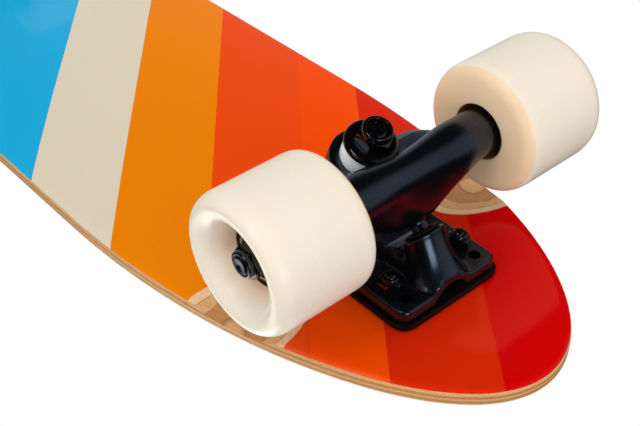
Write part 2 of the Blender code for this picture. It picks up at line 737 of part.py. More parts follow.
def washer_mesh(name, low, facing):
    """Cup washer: a disc whose turned rim holds the end of a bushing."""
    hole = KINGPIN_RADIUS + FIT_GAP
    rim, thick = WASHER_RADIUS, WASHER_THICKNESS
    inner = BUSHING_NECK_RADIUS + FIT_GAP
    dome = rim - inner
    profile = [(hole, 0), (rim - dome, 0), (rim, thick), (rim, thick + WASHER_CUP_DEPTH),
               (inner, thick + WASHER_CUP_DEPTH), (inner, thick), (hole, thick)]
    if facing > 0:
        profile = [(radius, low + height) for radius, height in profile]
    else:
        profile = [(radius, low + thick - height) for radius, height in profile]
    return turned(name, profile, SMALL_FACETS)


def tube_radius(across):
    """Radius of the cast axle tube, which is thinner at its middle beside the kingpin nut."""
    part = min(abs(across) / HANGER_WAIST_REACH, 1.0)
    return HANGER_TUBE_RADIUS - (HANGER_TUBE_RADIUS - HANGER_WAIST_RADIUS) * (1 - part ** 2) ** 2


def hanger_section(across):
    """Outline of the hanger's cast body, in the ring frame, at a distance from its middle.

    The outline is the axle tube's circle with two fins: a broad wing that reaches the kingpin
    ring, and a narrow web that reaches the pivot. Both sink into the tube towards its ends.
    """
    centre = axle_in_ring_frame()
    span = min(max((abs(across) - RING_RADIUS) / (WING_END - RING_RADIUS), 0.0), 1.0)
    wing = 1 - span ** WING_POWER
    web = min((WING_END - abs(across)) / (WING_END - WEB_FLAT), 1.0)
    shoulder = min(wing, WEB_LEAST + (1 - WEB_LEAST) * web)
    half = WING_THICKNESS / 2
    root = tube_radius(across) - FIN_SINK
    bulge = pivot_point_in_ring_frame(PIVOT_NECK_LENGTH + PIVOT_BULGE_RADIUS)
    fins = ((20, web, bulge + PIVOT_BULGE_RADIUS * direction(-15)),
            (45, web, bulge + PIVOT_BULGE_RADIUS * direction(30)),
            (70, web, bulge + PIVOT_BULGE_RADIUS * direction(90)),
            (88, shoulder, Vector((RING_RADIUS, half))),
            (102, wing, Vector((0.0, half))),
            (112, wing, Vector((-half, 0.0))),
            (120, wing, Vector((0.0, -half))))
    points = []
    for degrees, weight, target in fins:
        base = centre + root * direction(degrees)
        points.append(base + max(weight, 0.0) * (target - base))
    points += [centre + root * direction(d) for d in (124, 180, 235, 290, 345)]
    return points


def direction(degrees):
    """A unit vector at an angle in a plane."""
    angle = math.radians(degrees)
    return Vector((math.cos(angle), math.sin(angle)))


def axle_in_ring_frame():
    """The axle's place in the ring frame, as x and z."""
    point = ring_frame().inverted() @ Vector((AXLE_X, 0, -AXLE_DROP))
    return Vector((point.x, point.z))


def pivot_point_in_ring_frame(back):
    """A point on the pivot pin, a distance back from its ball, as x and z."""
    point = ring_frame().inverted() @ pivot_frame() @ Vector((0, 0, back))
    return Vector((point.x, point.z))


def pivot_pin_mesh():
    """Ball, neck and bulge of the pivot, in the ring frame."""
    ball, neck, bulge = PIVOT_BALL_RADIUS, PIVOT_NECK_RADIUS, PIVOT_BULGE_RADIUS
    back = PIVOT_NECK_LENGTH + bulge
    lead = math.degrees(math.asin(neck / ball))
    profile = arc((0, 0), ball, -90, 90 - lead, 4)
    profile[0] = (0, -ball)
    profile += [(neck, PIVOT_NECK_LENGTH)]
    profile += arc((0, back), bulge, -50, 50, 3) + [(0, back + bulge)]
    pin = turned("pin", profile, SMALL_FACETS)
    return moved(pin, ring_frame().inverted() @ pivot_frame())


def hanger_mesh():
    """Cast hanger in the ring frame: tube, wings, kingpin ring and pivot pin."""
    centre = axle_in_ring_frame()
    end = HANGER_HALF
    stations = [-1.0, -0.85, -0.68, -0.50, -0.33, -0.18, -0.08]
    stations += [-s for s in reversed(stations)]
    rings = []
    for station in stations:
        across = station * WING_END
        section = hanger_section(across)
        rings.append([Vector((p.x, across, p.y)) for p in section])
    body = lofted("hanger", rings)
    face = end + SPEED_RING_THICKNESS
    profile = [(0, face), (SPEED_RING_RADIUS, face), (SPEED_RING_RADIUS, end),
               (tube_radius(end) - END_CHAMFER, end), (tube_radius(end), end - END_CHAMFER)]
    profile += [(tube_radius(s * HANGER_WAIST_REACH), s * HANGER_WAIST_REACH) for s in (1, 0.6, 0.25)]
    profile += [(r, -z) for r, z in reversed(profile)]
    tube = turned("tube", profile, SMALL_FACETS)
    to_axle = Matrix.Translation((centre.x, 0, centre.y)) @ Matrix.Rotation(math.pi / 2, 4, "X")
    half, soft = RING_THICKNESS / 2, RING_EDGE_ROUND
    ring = turned("ring", [(0, -half), (RING_RADIUS - soft, -half), (RING_RADIUS, -half + soft),
                           (RING_RADIUS, half - soft), (RING_RADIUS - soft, half), (0, half)],
                  TUBE_FACETS)
    seat_radius = BUSHING_RADIUS + FIT_GAP
    reach = RING_CENTRE
    hole = cylinder("hole", RING_HOLE_RADIUS, -reach, reach, TUBE_FACETS)
    top_seat = cylinder("top_seat", seat_radius, -reach, SEAT_DEPTH - half, TUBE_FACETS)
    low_seat = cylinder("low_seat", seat_radius, half - SEAT_DEPTH, reach, TUBE_FACETS)
    clear = cylinder("clear", WASHER_RADIUS + NUT_CLEARANCE, -2 * reach, -half - SEAT_GAP,
                     TUBE_FACETS)
    bore = cylinder("bore", AXLE_BORE, -2 * end, 2 * end, SMALL_FACETS)
    joined = (moved(tube, to_axle), ring, pivot_pin_mesh())
    casting = combine("hanger", body, [("UNION", mesh) for mesh in joined])
    cuts = (hole, top_seat, low_seat, clear, moved(bore, to_axle))
    return combine("hanger", casting, [("DIFFERENCE", mesh) for mesh in cuts])


def axle_mesh():
    """Steel axle along Z, with chamfered ends."""
    profile = [(AXLE_RADIUS - END_CHAMFER, -AXLE_HALF), (AXLE_RADIUS, END_CHAMFER - AXLE_HALF),
               (AXLE_RADIUS, AXLE_HALF - END_CHAMFER), (AXLE_RADIUS - END_CHAMFER, AXLE_HALF)]
    return lofted("axle", [circle(radius, z, SMALL_FACETS) for radius, z in profile])


def wheel_mesh():
    """Urethane wheel along Z, outer side up, with its bearing seats, core and funnel."""
    low, high = WHEEL_INNER_Y, WHEEL_INNER_Y + WHEEL_WIDTH
    inner_seat = INNER_BEARING_Y + BEARING_WIDTH + SEAT_GAP
    outer_seat = OUTER_BEARING_Y - SEAT_GAP
    floor = OUTER_BEARING_Y + BEARING_WIDTH
    profile = [(COUNTERBORE_RADIUS, low)]
    profile += arc((WHEEL_RADIUS - INNER_LIP, low + INNER_LIP), INNER_LIP, -90, 0, LIP_STEPS)
    profile += arc((WHEEL_RADIUS - OUTER_LIP, high - OUTER_LIP), OUTER_LIP, 0, 90, LIP_STEPS)
    profile += [(FUNNEL_RADIUS, high), (FUNNEL_FLOOR_RADIUS, floor), (BEARING_SEAT, floor),
                (BEARING_SEAT, outer_seat), (CORE_BORE_RADIUS, outer_seat),
                (CORE_BORE_RADIUS, inner_seat), (BEARING_SEAT, inner_seat),
                (BEARING_SEAT, INNER_BEARING_Y), (COUNTERBORE_RADIUS, INNER_BEARING_Y)]
    return turned("wheel", profile, WHEEL_FACETS)


def bearing_mesh(shielded):
    """Ball bearing along Z; the one in sight has its shield sunk between the rings."""
    width, ring, sink = BEARING_WIDTH, BEARING_RING, SHIELD_SINK
    inner, outer = AXLE_BORE, BEARING_RADIUS
    profile = [(inner, 0), (outer, 0), (outer, width)]
    if shielded:
        profile += [(outer - ring, width), (outer - ring, width - sink),
                    (inner + ring, width - sink), (inner + ring, width)]
    return turned("bearing", profile + [(inner, width)], SMALL_FACETS)


def spacer_mesh():
    """Tube that keeps the two bearings of a wheel apart."""
    profile = [(AXLE_BORE, 0), (SPACER_RADIUS, 0), (SPACER_RADIUS, SPACER_LENGTH),
               (AXLE_BORE, SPACER_LENGTH)]
    return turned("spacer", profile, SMALL_FACETS)


def bolt_mesh():
    """Countersunk bolt along Z in the truck frame, from its head down to past its nut."""
    top = DECK_Z + GRIP_HIGH
    end = -(LOCKNUT_HEX + LOCKNUT_COLLAR + SEAT_GAP + BOLT_STICK_OUT)
    profile = [(0, top), (BOLT_HEAD_RADIUS, top), (BOLT_RADIUS, top - BOLT_HEAD_DEPTH),
               (BOLT_RADIUS, end + END_CHAMFER), (BOLT_RADIUS - END_CHAMFER, end), (0, end)]
    return turned("bolt", profile, BOLT_FACETS)


def build_board(materials):
    """The deck and its grip tape, with the truck frames' places in the world."""
    deck = board_shell("deck", 0.0, DECK_THICKNESS, 0.0, EDGE_ROUND, EDGE_STEPS)
    deck = combine("deck", deck, well_cutters() + bolt_head_cutters(FIT_GAP))
    grip = board_shell("grip", GRIP_LOW, GRIP_HIGH, GRIP_INSET, 0.0, 0)
    grip = combine("grip", grip, bolt_head_cutters(FIT_GAP))
    ends = [vert.co.x for vert in deck.vertices]
    middle = (min(ends) + max(ends)) / 2
    board = Matrix.Translation((-middle, 0, PLATE_ROAD_Z + DECK_Z))
    place("deck", deck, materials["maple"], matrix=board)
    place("grip_tape", grip, materials["grip"], matrix=board)
    return Matrix.Translation((-middle, 0, PLATE_ROAD_Z))


def truck_parts():
    """Every truck piece that stays on the plate: name, mesh, material and its frame."""
    kingpin = kingpin_frame()
    low_washer, low_bushing, low_seat, top_seat, top_washer, nut = stack_heights()
    nut_mesh = hex_nut_mesh("kingpin_nut", KINGPIN_HEAD_ACROSS, KINGPIN_RADIUS + FIT_GAP,
                            KINGPIN_NUT_HEX, KINGPIN_NUT_COLLAR, KINGPIN_NUT_WALL,
                            chamfer=END_CHAMFER)
    return (
        ("riser_pad", riser_mesh(), "rubber", Matrix.Identity(4)),
        ("baseplate", baseplate_mesh(), "cast", Matrix.Identity(4)),
        ("pivot_cup", pivot_cup_mesh(), "rubber", pivot_frame()),
        ("kingpin", kingpin_mesh(), "black_steel", kingpin),
        ("lower_washer", washer_mesh("lower_washer", low_washer, 1), "black_steel", kingpin),
        ("lower_bushing", bushing_mesh("lower_bushing", low_bushing, low_seat, True),
         "bushing", kingpin),
        ("upper_bushing", bushing_mesh("upper_bushing", top_seat,
                                       top_seat + TOP_BUSHING_HEIGHT, False), "bushing", kingpin),
        ("upper_washer", washer_mesh("upper_washer", top_washer, -1), "black_steel", kingpin),
        ("kingpin_nut", nut_mesh, "black_steel", kingpin @ Matrix.Translation((0, 0, nut))),
    )


def wheel_parts():
    """Every piece on one end of an axle: name, mesh, material and distance along the axle."""
    nut = hex_nut_mesh("axle_nut", AXLE_NUT_ACROSS, AXLE_BORE, AXLE_NUT_HEX, AXLE_NUT_COLLAR,
                       AXLE_NUT_WALL, AXLE_NUT_FLANGE, END_CHAMFER)
    return (
        ("wheel", wheel_mesh(), "urethane", 0.0),
        ("inner_bearing", bearing_mesh(False), "bearing", INNER_BEARING_Y),
        ("bearing_spacer", spacer_mesh(), "steel", INNER_BEARING_Y + BEARING_WIDTH + SEAT_GAP),
        ("outer_bearing", bearing_mesh(True), "bearing", OUTER_BEARING_Y),
        ("axle_nut", nut, "black_steel", AXLE_NUT_Y),
    )


def build_truck(end, frame, fixed_parts, hanger, axle, end_parts, bolt, locknut, materials):
    """One truck under its own empties, with the names of its end of the board."""
    truck = add_empty(end + "_truck", frame)
    for name, mesh, material, matrix in fixed_parts:
        place(end + "_" + name, mesh, materials[material], truck, matrix)
    side_swap = {"left": "right", "right": "left"} if end == "rear" else {}
    for spot, (x, y) in bolt_places().items():
        row, side = spot.split("_")
        label = end + "_" + row + "_" + side_swap.get(side, side)
        place(label + "_bolt", bolt, materials["black_steel"], truck, Matrix.Translation((x, y, 0)))
        under = Matrix.Translation((x, y, -SEAT_GAP)) @ Matrix.Rotation(math.pi, 4, "X")
        place(label + "_locknut", locknut, materials["black_steel"], truck, under)
    steer = add_empty(end + "_steer", steer_frame(), truck)
    to_steer = steer_frame().inverted()
    place(end + "_hanger", hanger, materials["cast"], steer, to_steer @ ring_frame())
    axle_line = (to_steer @ Matrix.Translation((AXLE_X, 0, -AXLE_DROP))
                 @ Matrix.Rotation(math.pi / 2, 4, "X"))
    place(end + "_axle", axle, materials["steel"], steer, axle_line)
    for side, turn in (("left", math.pi), ("right", 0.0)):
        label = end + "_" + side_swap.get(side, side)
        hub = add_empty(label + "_hub", axle_line @ Matrix.Rotation(turn, 4, "X"), steer)
        for name, mesh, material, along in end_parts:
            spot = Matrix.Translation((0, 0, along))
            place(label + "_" + name, mesh, materials[material], hub, spot)


def main():
    """Build the whole board."""
    clear_scene()
    materials = {
        "maple": make_material("maple", (0.62, 0.42, 0.24), 0.45),
        "grip": make_material("grip", (0.02, 0.02, 0.022), 0.95),
        "rubber": make_material("rubber", (0.015, 0.015, 0.016), 0.6),
        "cast": make_material("cast", (0.012, 0.012, 0.014), 0.35, 0.4),
        "black_steel": make_material("black_steel", (0.01, 0.01, 0.012), 0.2, 0.8),
        "steel": make_material("steel", (0.55, 0.55, 0.57), 0.3, 1.0),
        "bearing": make_material("bearing", (0.35, 0.35, 0.37), 0.3, 1.0),
        "bushing": make_material("bushing", (0.75, 0.80, 0.86), 0.3),
        "urethane": make_material("urethane", (0.87, 0.80, 0.68), 0.3),
    }
    ground = build_board(materials)
    fixed_parts, end_parts = truck_parts(), wheel_parts()
    hanger, axle, bolt = hanger_mesh(), axle_mesh(), bolt_mesh()
    locknut = hex_nut_mesh("locknut", LOCKNUT_ACROSS, BOLT_RADIUS + FIT_GAP, LOCKNUT_HEX,
                           LOCKNUT_COLLAR, LOCKNUT_WALL)
    for end, matrix in truck_matrices().items():
        build_truck(end, ground @ matrix, fixed_parts, hanger, axle, end_parts, bolt, locknut,
                    materials)


if __name__ == "__main__":
    main()
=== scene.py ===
"""Cruiser skateboard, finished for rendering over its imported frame.

Metres, +Z up and +X to the nose, with the board standing on its wheels. Both trucks are made
in a truck frame: origin on the road side of the baseplate at the middle of its four bolts, +X
outwards. The camera looks up at the underside, so the floor is clear when seen from below.
"""
import math

import bmesh
import bpy
from bpy.props import FloatProperty, FloatVectorProperty, IntProperty, PointerProperty
from bpy.types import Operator, Panel, PropertyGroup
from mathutils import Euler, Matrix, Vector


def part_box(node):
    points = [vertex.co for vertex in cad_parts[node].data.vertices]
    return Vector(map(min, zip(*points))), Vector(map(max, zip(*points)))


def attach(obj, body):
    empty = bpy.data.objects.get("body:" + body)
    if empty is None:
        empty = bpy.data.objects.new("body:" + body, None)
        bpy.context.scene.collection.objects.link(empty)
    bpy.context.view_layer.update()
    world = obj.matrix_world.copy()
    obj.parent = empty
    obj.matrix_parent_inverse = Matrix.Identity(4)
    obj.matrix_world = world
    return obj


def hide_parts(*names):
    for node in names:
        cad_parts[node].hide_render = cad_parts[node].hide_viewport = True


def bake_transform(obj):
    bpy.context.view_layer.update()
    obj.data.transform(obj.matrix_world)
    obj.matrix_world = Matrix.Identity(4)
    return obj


bl_info = {
    "name": "Cruiser Skateboard",
    "version": (1, 0, 0),
    "blender": (4, 5, 0),
    "location": "View3D > Sidebar > Skateboard",
    "description": "Finishes a cruiser skateboard: deck, grip tape, trucks, wheels and studio",
    "category": "Add Mesh",
}

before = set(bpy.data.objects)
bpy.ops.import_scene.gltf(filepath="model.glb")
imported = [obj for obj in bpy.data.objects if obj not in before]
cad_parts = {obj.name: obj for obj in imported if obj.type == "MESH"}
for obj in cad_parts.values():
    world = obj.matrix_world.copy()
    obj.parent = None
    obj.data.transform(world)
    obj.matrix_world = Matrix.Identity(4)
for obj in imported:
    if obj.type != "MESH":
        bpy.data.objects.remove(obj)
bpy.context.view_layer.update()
ENDS = ("front", "rear")
SIDES = ("left", "right")

# Gap between pieces that rest on each other, and gap round a piece in its bore
SEAT_GAP = 0.0003
FIT_GAP = 0.00025

# How far a cutter stands past what it cuts
OVERCUT = 0.001

# Edges sharper than this stay sharp in the shading
SHARP = math.radians(38)

# Grain in which the castings are drawn, and the passes that soften their edges
PLATE_GRAIN = 0.0004
HANGER_GRAIN = 0.00042
CAST_PASSES = 7

# Rounds of a large fillet, how far each draws in from the last, and the passes in each
SOFT_ROUNDS = 7
SOFT_STEP = 0.0005
SOFT_PASSES = 16

# Box of the fillet between web and axle tube, as two corners in the truck frame
WEB_FILLET = ((0.011, -0.046, -0.047), (0.040, 0.046, -0.024))

# Corners and upper edge of the plate's spine, and how fast a post's flare fades with height
SPINE_CORNER = 0.006
SPINE_EDGE = 0.001
FLARE_POWER = 2.6

# How far the web's lower side stands out from the tube's root, and how deep the root lies
WEB_SKIN = 0.0014
TUBE_ROOT = 0.0010

# Pitch and depth of the threads
BOLT_THREAD = (0.0008, 0.00025)
KINGPIN_THREAD = (0.0012, 0.0003)
AXLE_THREAD = (0.0011, 0.00025)

# Painted warm shade of the urethane in funnel and inner face, 0 for cream to 1 for deep
PAINTED_SHADE_STRENGTH = 0.6

# The printed bands by their lower edges, measured square to their slant
PRINT_START = -0.15
PRINT_REACH = 0.60
PRINT_BANDS = (("print_red", PRINT_START), ("print_rust", -0.0438), ("print_orange", 0.0005),
               ("print_coral", 0.0306), ("print_amber", 0.0752), ("print_cream", 0.1200),
               ("print_blue", 0.1646))

# The plies from the underside up
PLIES = ("ply_pale", "ply_tan", "ply_brown", "ply_tan", "ply_brown", "ply_tan", "ply_pale")

# Lamps: place, the spot on the board that they point at, and their two sizes
LAMPS = {
    "key_light": ((1.19, 0.30, -0.10), (0.27, 0.0, 0.05), (0.45, 0.34)),
    "side_light": ((0.25, 1.02, -1.05), (0.25, 0.0, 0.05), (0.6, 0.6)),
    "top_light": ((-0.4, 0.5, 1.5), (0.0, 0.0, 0.05), (1.2, 1.2)),
}

# Middles of the dim walls that reflections see, as directions from the board, and the cosines
# between which their light comes up
WALLS = (Vector((0.72, -0.60, -0.35)), Vector((-0.80, -0.58, 0.10)))
WALL_EDGES = (0.75, 0.95)

# Heights of a direction between which the room's light from below gives way to that from above
ROOM_EDGES = (-0.1, 0.5)

# Size of the floor, and the distances between which it fades
FLOOR_SIZE = 6.0
FLOOR_FADE = (0.6, 1.9)


def length(name, metres, text):
    """A size in metres that a user can change."""
    return FloatProperty(name=name, description=text, default=metres, min=0.0, precision=5,
                         unit="LENGTH")


def share(name, value, text):
    """A plain number that a user can change."""
    return FloatProperty(name=name, description=text, default=value, precision=3)


def angle(name, degrees, text):
    """An angle that a user can change."""
    return FloatProperty(name=name, description=text, default=math.radians(degrees),
                         unit="ROTATION")


def linear(red, green, blue):
    """Scene-linear colour from display values of 0 to 255."""
    parts = [value / 255 for value in (red, green, blue)]
    return tuple(p / 12.92 if p < 0.04045 else ((p + 0.055) / 1.055) ** 2.4 for p in parts)


def colour(name, display, text):
    """A colour that a user can change, given in display values."""
    return FloatVectorProperty(name=name, description=text, default=linear(*display),
                               subtype="COLOR", size=3, min=0.0, max=1.0)


class DeckSizes(PropertyGroup):
    """Outline, bends, plies, wells, print and grip of the deck."""
    board_length: length("Length", 0.690, "Length along the curve of the board")
    board_width: length("Width", 0.178, "Width at the middle")
    ply_count: IntProperty(name="Plies", description="Plies in the deck", default=7, min=1)
    ply: length("Ply", 0.00125, "Thickness of one ply")
    edge_round: length("Edge round", 0.0028, "Rounding of the deck's edge")
    nose_sweep: length("Nose sweep", 0.215, "Length over which the nose narrows")
    nose_squareness: share("Nose squareness", 2.0, "Higher makes a squarer nose")
    tail_sweep: length("Tail sweep", 0.200, "Length over which the tail narrows")
    tail_squareness: share("Tail squareness", 2.7, "Higher makes a squarer tail")
    flat_width: length("Flat width", 0.064, "Width of the flat middle")
    concave_rise: length("Concave rise", 0.0030, "Rise of the edges over the middle")
    nose_overhang: length("Nose overhang", 0.097, "From the front truck to the nose's tip")
    wheelbase: length("Wheelbase", 0.406, "Distance between the trucks")
    nose_kick: length("Nose kick", 0.075, "Length of the nose that bends up")
    nose_radius: length("Nose kick radius", 0.900, "Radius of the nose's bend")
    nose_angle: angle("Nose kick angle", 1.2, "Angle of the nose's bend")
    tail_kick: length("Tail kick", 0.132, "Length of the kicktail")
    tail_radius: length("Kicktail radius", 0.110, "Radius of the kicktail's bend")
    tail_angle: angle("Kicktail angle", 19, "Angle of the kicktail")
    well_length: length("Well length", 0.050, "Length of a wheel well along the board")
    well_reach: length("Well reach", 0.037, "Half width of a wheel well")
    well_depth: length("Well depth", 0.0040, "Depth of a wheel well")
    well_setback: length("Well setback", 0.0095, "From the truck's middle to the well's")
    well_spread: length("Well spread", 0.075, "From the board's middle line to the well's")
    print_slant: angle("Print slant", 39.03, "Slant of the printed bands")
    print_wrap: length("Print wrap", 0.0011, "How far the print runs up the rounded edge")
    grip: length("Grip tape", 0.0008, "Thickness of the grip tape")
    grip_inset: length("Grip inset", 0.0034, "From the deck's edge to the grip tape's")


class TruckSizes(PropertyGroup):
    """Baseplate, riser pad, bolts, kingpin and its stack, pivot, hanger and axle."""
    plate_length: length("Plate length", 0.0870, "Length of the baseplate")
    plate_width: length("Plate width", 0.0570, "Width of the baseplate")
    plate: length("Plate", 0.0060, "Thickness of the baseplate")
    plate_corner: length("Plate corner", 0.0062, "Radius of the plate's corners")
    plate_round: length("Plate round", 0.0018, "Rounding of the plate's road edge")
    riser: length("Riser", 0.0030, "Thickness of the riser pad")
    riser_margin: length("Riser margin", 0.0016, "How far the pad stands past the plate")
    spine_length: length("Spine length", 0.060, "Length of the raised spine")
    spine_width: length("Spine width", 0.020, "Width of the raised spine")
    spine_height: length("Spine height", 0.0050, "Height of the raised spine")
    spine_slope: length("Spine slope", 0.0030, "Spread of the spine's sides")
    arch_width: length("Arch width", 0.018, "Width of the arch below the tower")
    arch_height: length("Arch height", 0.0070, "Height of the arch")
    arch_depth: length("Arch depth", 0.0095, "Depth of the arch")
    hood_width: length("Hood width", 0.034, "Width of the brow over the arch")
    hood_height: length("Hood height", 0.0040, "Height of the brow")
    hood_depth: length("Hood depth", 0.0110, "Depth of the brow")
    bolt_spacing_x: length("Bolt spacing along", 0.05398, "Between bolts, along the board")
    bolt_spacing_y: length("Bolt spacing across", 0.04128, "Between bolts, across")
    spare_step: length("Spare hole step", 0.00952, "From the outer bolts to the spare holes")
    bolt_radius: length("Bolt radius", 0.0024, "Radius of a deck bolt")
    bolt_head: length("Bolt head", 0.0046, "Radius of a bolt's head")
    bolt_hole: length("Bolt hole", 0.00275, "Radius of a bolt hole")
    head_depth: length("Bolt head depth", 0.0028, "Depth of the countersunk head")
    key: length("Key", 0.0032, "Width across the flats of the key's socket in a bolt")
    key_depth: length("Key depth", 0.0020, "Depth of the key's socket")
    locknut: length("Locknut", 0.00953, "Width of a locknut across its flats")
    locknut_hex: length("Locknut hexagon", 0.0040, "Height of a locknut's hexagon")
    locknut_collar: length("Locknut collar", 0.0022, "Height of a locknut's collar")
    locknut_wall: length("Locknut wall", 0.0012, "Wall of a locknut's collar")
    bolt_end: length("Bolt end", 0.0010, "How far a bolt stands out of its nut")
    setback: length("Kingpin setback", 0.0258, "From the plate's middle to the kingpin")
    lean: angle("Kingpin lean", 22, "Lean of the kingpin")
    kingpin: length("Kingpin radius", 0.00475, "Radius of the kingpin")
    kingpin_head: length("Kingpin nut", 0.0143, "Width of head and nut across the flats")
    kingpin_sink: length("Kingpin sink", 0.0014, "How deep the head sits in the plate")
    kingpin_height: length("Kingpin head height", 0.0042, "Height of the kingpin's head")
    kingpin_end: length("Kingpin end", 0.0586, "From the plate to the kingpin's end")
    boss: length("Boss radius", 0.0112, "Radius of the kingpin boss at its top")
    boss_foot: length("Boss foot", 0.0125, "Radius of the kingpin boss at the plate")
    boss_height: length("Boss height", 0.0145, "Height of the kingpin boss")
    ring_centre: length("Ring centre", 0.0345, "From the plate to the hanger's ring")
    ring: length("Ring thickness", 0.0100, "Thickness of the hanger's ring")
    ring_radius: length("Ring radius", 0.0158, "Radius of the hanger's ring")
    ring_hole: length("Ring hole", 0.0080, "Radius of the hole in the ring")
    seat_depth: length("Seat depth", 0.0030, "Depth of a bushing's seat")
    bushing: length("Bushing radius", 0.0114, "Radius of a bushing at the ring")
    bushing_neck: length("Bushing neck", 0.0104, "Radius of a bushing at its washer")
    bushing_height: length("Bushing height", 0.0127, "Height of the road side bushing")
    washer: length("Washer radius", 0.0122, "Radius of a cup washer")
    washer_plate: length("Washer plate", 0.0014, "Thickness of a cup washer's disc")
    washer_cup: length("Washer cup", 0.0018, "Height of a cup washer's rim")
    nut_hex: length("Kingpin nut hexagon", 0.0050, "Height of the nut's hexagon")
    nut_collar: length("Kingpin nut collar", 0.0033, "Height of the nut's collar")
    nut_wall: length("Kingpin nut wall", 0.0018, "Wall of the kingpin nut's collar")
    pivot_x: length("Pivot place", 0.0300, "From the plate's middle to the pivot ball")
    pivot_drop: length("Pivot drop", 0.0110, "From the plate to the pivot ball")
    pivot_lean: angle("Pivot lean", 45, "Lean of the pivot pin")
    ball: length("Pivot ball", 0.0044, "Radius of the pivot ball")
    neck: length("Pivot neck", 0.0036, "Radius of the pivot's neck")
    neck_length: length("Pivot neck length", 0.0122, "From the ball to the bulge")
    bulge: length("Pivot bulge", 0.0066, "Radius of the bulge above the neck")
    cup_wall: length("Cup wall", 0.0013, "Wall of the pivot cup")
    cup_floor: length("Cup floor", 0.0032, "Radius of the pivot cup's floor")
    cup_lip: length("Cup lip", 0.0080, "Radius of the pivot cup's lip")
    cup_lip_height: length("Cup lip height", 0.0014, "Height of the pivot cup's lip")
    cup_mouth: length("Cup mouth", 0.0072, "From the ball to the tower's rim")
    tower_rim: length("Tower rim", 0.0096, "Radius of the pivot tower's rim")
    tower_x: length("Tower place", 0.0353, "From the plate's middle to the tower's foot")
    tower_length: length("Tower length", 0.0160, "Length of the tower's foot")
    tower_width: length("Tower width", 0.0184, "Width of the tower's foot")
    saddle_start: length("Saddle start", 0.0050, "From the plate's middle to the saddle")
    saddle_width: length("Saddle width", 0.0184, "Width of the ramp up to the tower")
    saddle_sink: length("Saddle sink", 0.0003, "How far the ramp ends below the rim")
    saddle_reach: length("Saddle reach", 0.0100, "How far the ramp runs into the tower")
    post_flare: length("Post flare", 0.0058, "Spread of boss and tower at the plate")
    axle_x: length("Axle place", 0.0140, "From the plate's middle to the axle")
    axle_drop: length("Axle drop", 0.0425, "From the plate to the axle")
    axle: length("Axle radius", 0.0040, "Radius of the axle")
    hanger_length: length("Hanger length", 0.1046, "Length of the hanger's tube")
    tube: length("Tube radius", 0.0108, "Radius of the tube near the wheels")
    waist: length("Waist radius", 0.0083, "Radius of the tube at its middle")
    waist_reach: length("Waist reach", 0.0280, "Where the waist ends")
    speed_ring: length("Speed ring radius", 0.0058, "Radius of the inner speed ring")
    speed_ring_height: length("Speed ring", 0.0008, "Thickness of the inner speed ring")
    wing: length("Wing thickness", 0.0085, "Thickness of the hanger's wings")
    wing_power: share("Wing power", 5.5, "Higher keeps the wings broad for longer")
    wing_gap: length("Wing gap", 0.0015, "From the wings to the wheels")
    web_flat: length("Web flat", 0.0095, "Half width of the web's flat middle")
    web_least: share("Web least", 0.3, "Share of the shoulder that stays past the web")
    nut_clearance: length("Nut clearance", 0.0006, "Pocket round the washer")


class WheelSizes(PropertyGroup):
    """Wheels, bearings, spacers and axle nuts."""
    radius: length("Radius", 0.0300, "Radius of a wheel")
    width: length("Width", 0.0500, "Width of a wheel")
    crest: length("Crest radius", 0.0250, "Radius of the outer lip's crest")
    crest_sink: length("Crest sink", 0.0018, "From the outer face's plane to the crest")
    lip_length: length("Lip length", 0.0080, "Length of the outer lip's rounding")
    roll: length("Roll", 0.0085, "Width of the roll from the crest into the funnel")
    roll_depth: length("Roll depth", 0.0095, "Depth of the roll into the funnel")
    inner_lip: length("Inner lip", 0.0072, "Rounding of the inner lip")
    funnel_floor: length("Funnel floor", 0.0135, "Radius of the funnel at the bearing")
    counterbore: length("Counterbore radius", 0.0128, "Radius of the inner counterbore")
    counterbore_depth: length("Counterbore depth", 0.0108, "Depth of the counterbore")
    core_bore: length("Core bore", 0.0085, "Radius between the bearings")
    bearing: length("Bearing radius", 0.0110, "Outer radius of a bearing")
    bearing_width: length("Bearing width", 0.0070, "Width of a bearing")
    bearing_ring: length("Bearing ring", 0.0011, "Height of a bearing's rings")
    shield_sink: length("Shield sink", 0.0005, "How far the shield lies back")
    spacer: length("Spacer", 0.0100, "Length of the bearing spacer")
    nut: length("Axle nut", 0.0130, "Width of an axle nut across its flats")
    nut_hex: length("Axle nut hexagon", 0.0052, "Height of an axle nut's hexagon")
    nut_collar: length("Axle nut collar", 0.0022, "Height of an axle nut's collar")
    nut_flange: length("Axle nut flange", 0.0009, "Thickness of an axle nut's flange")
    nut_wall: length("Axle nut wall", 0.0016, "Wall of an axle nut's collar")
    axle_end: length("Axle end", 0.0006, "How far the axle stands out of its nut")


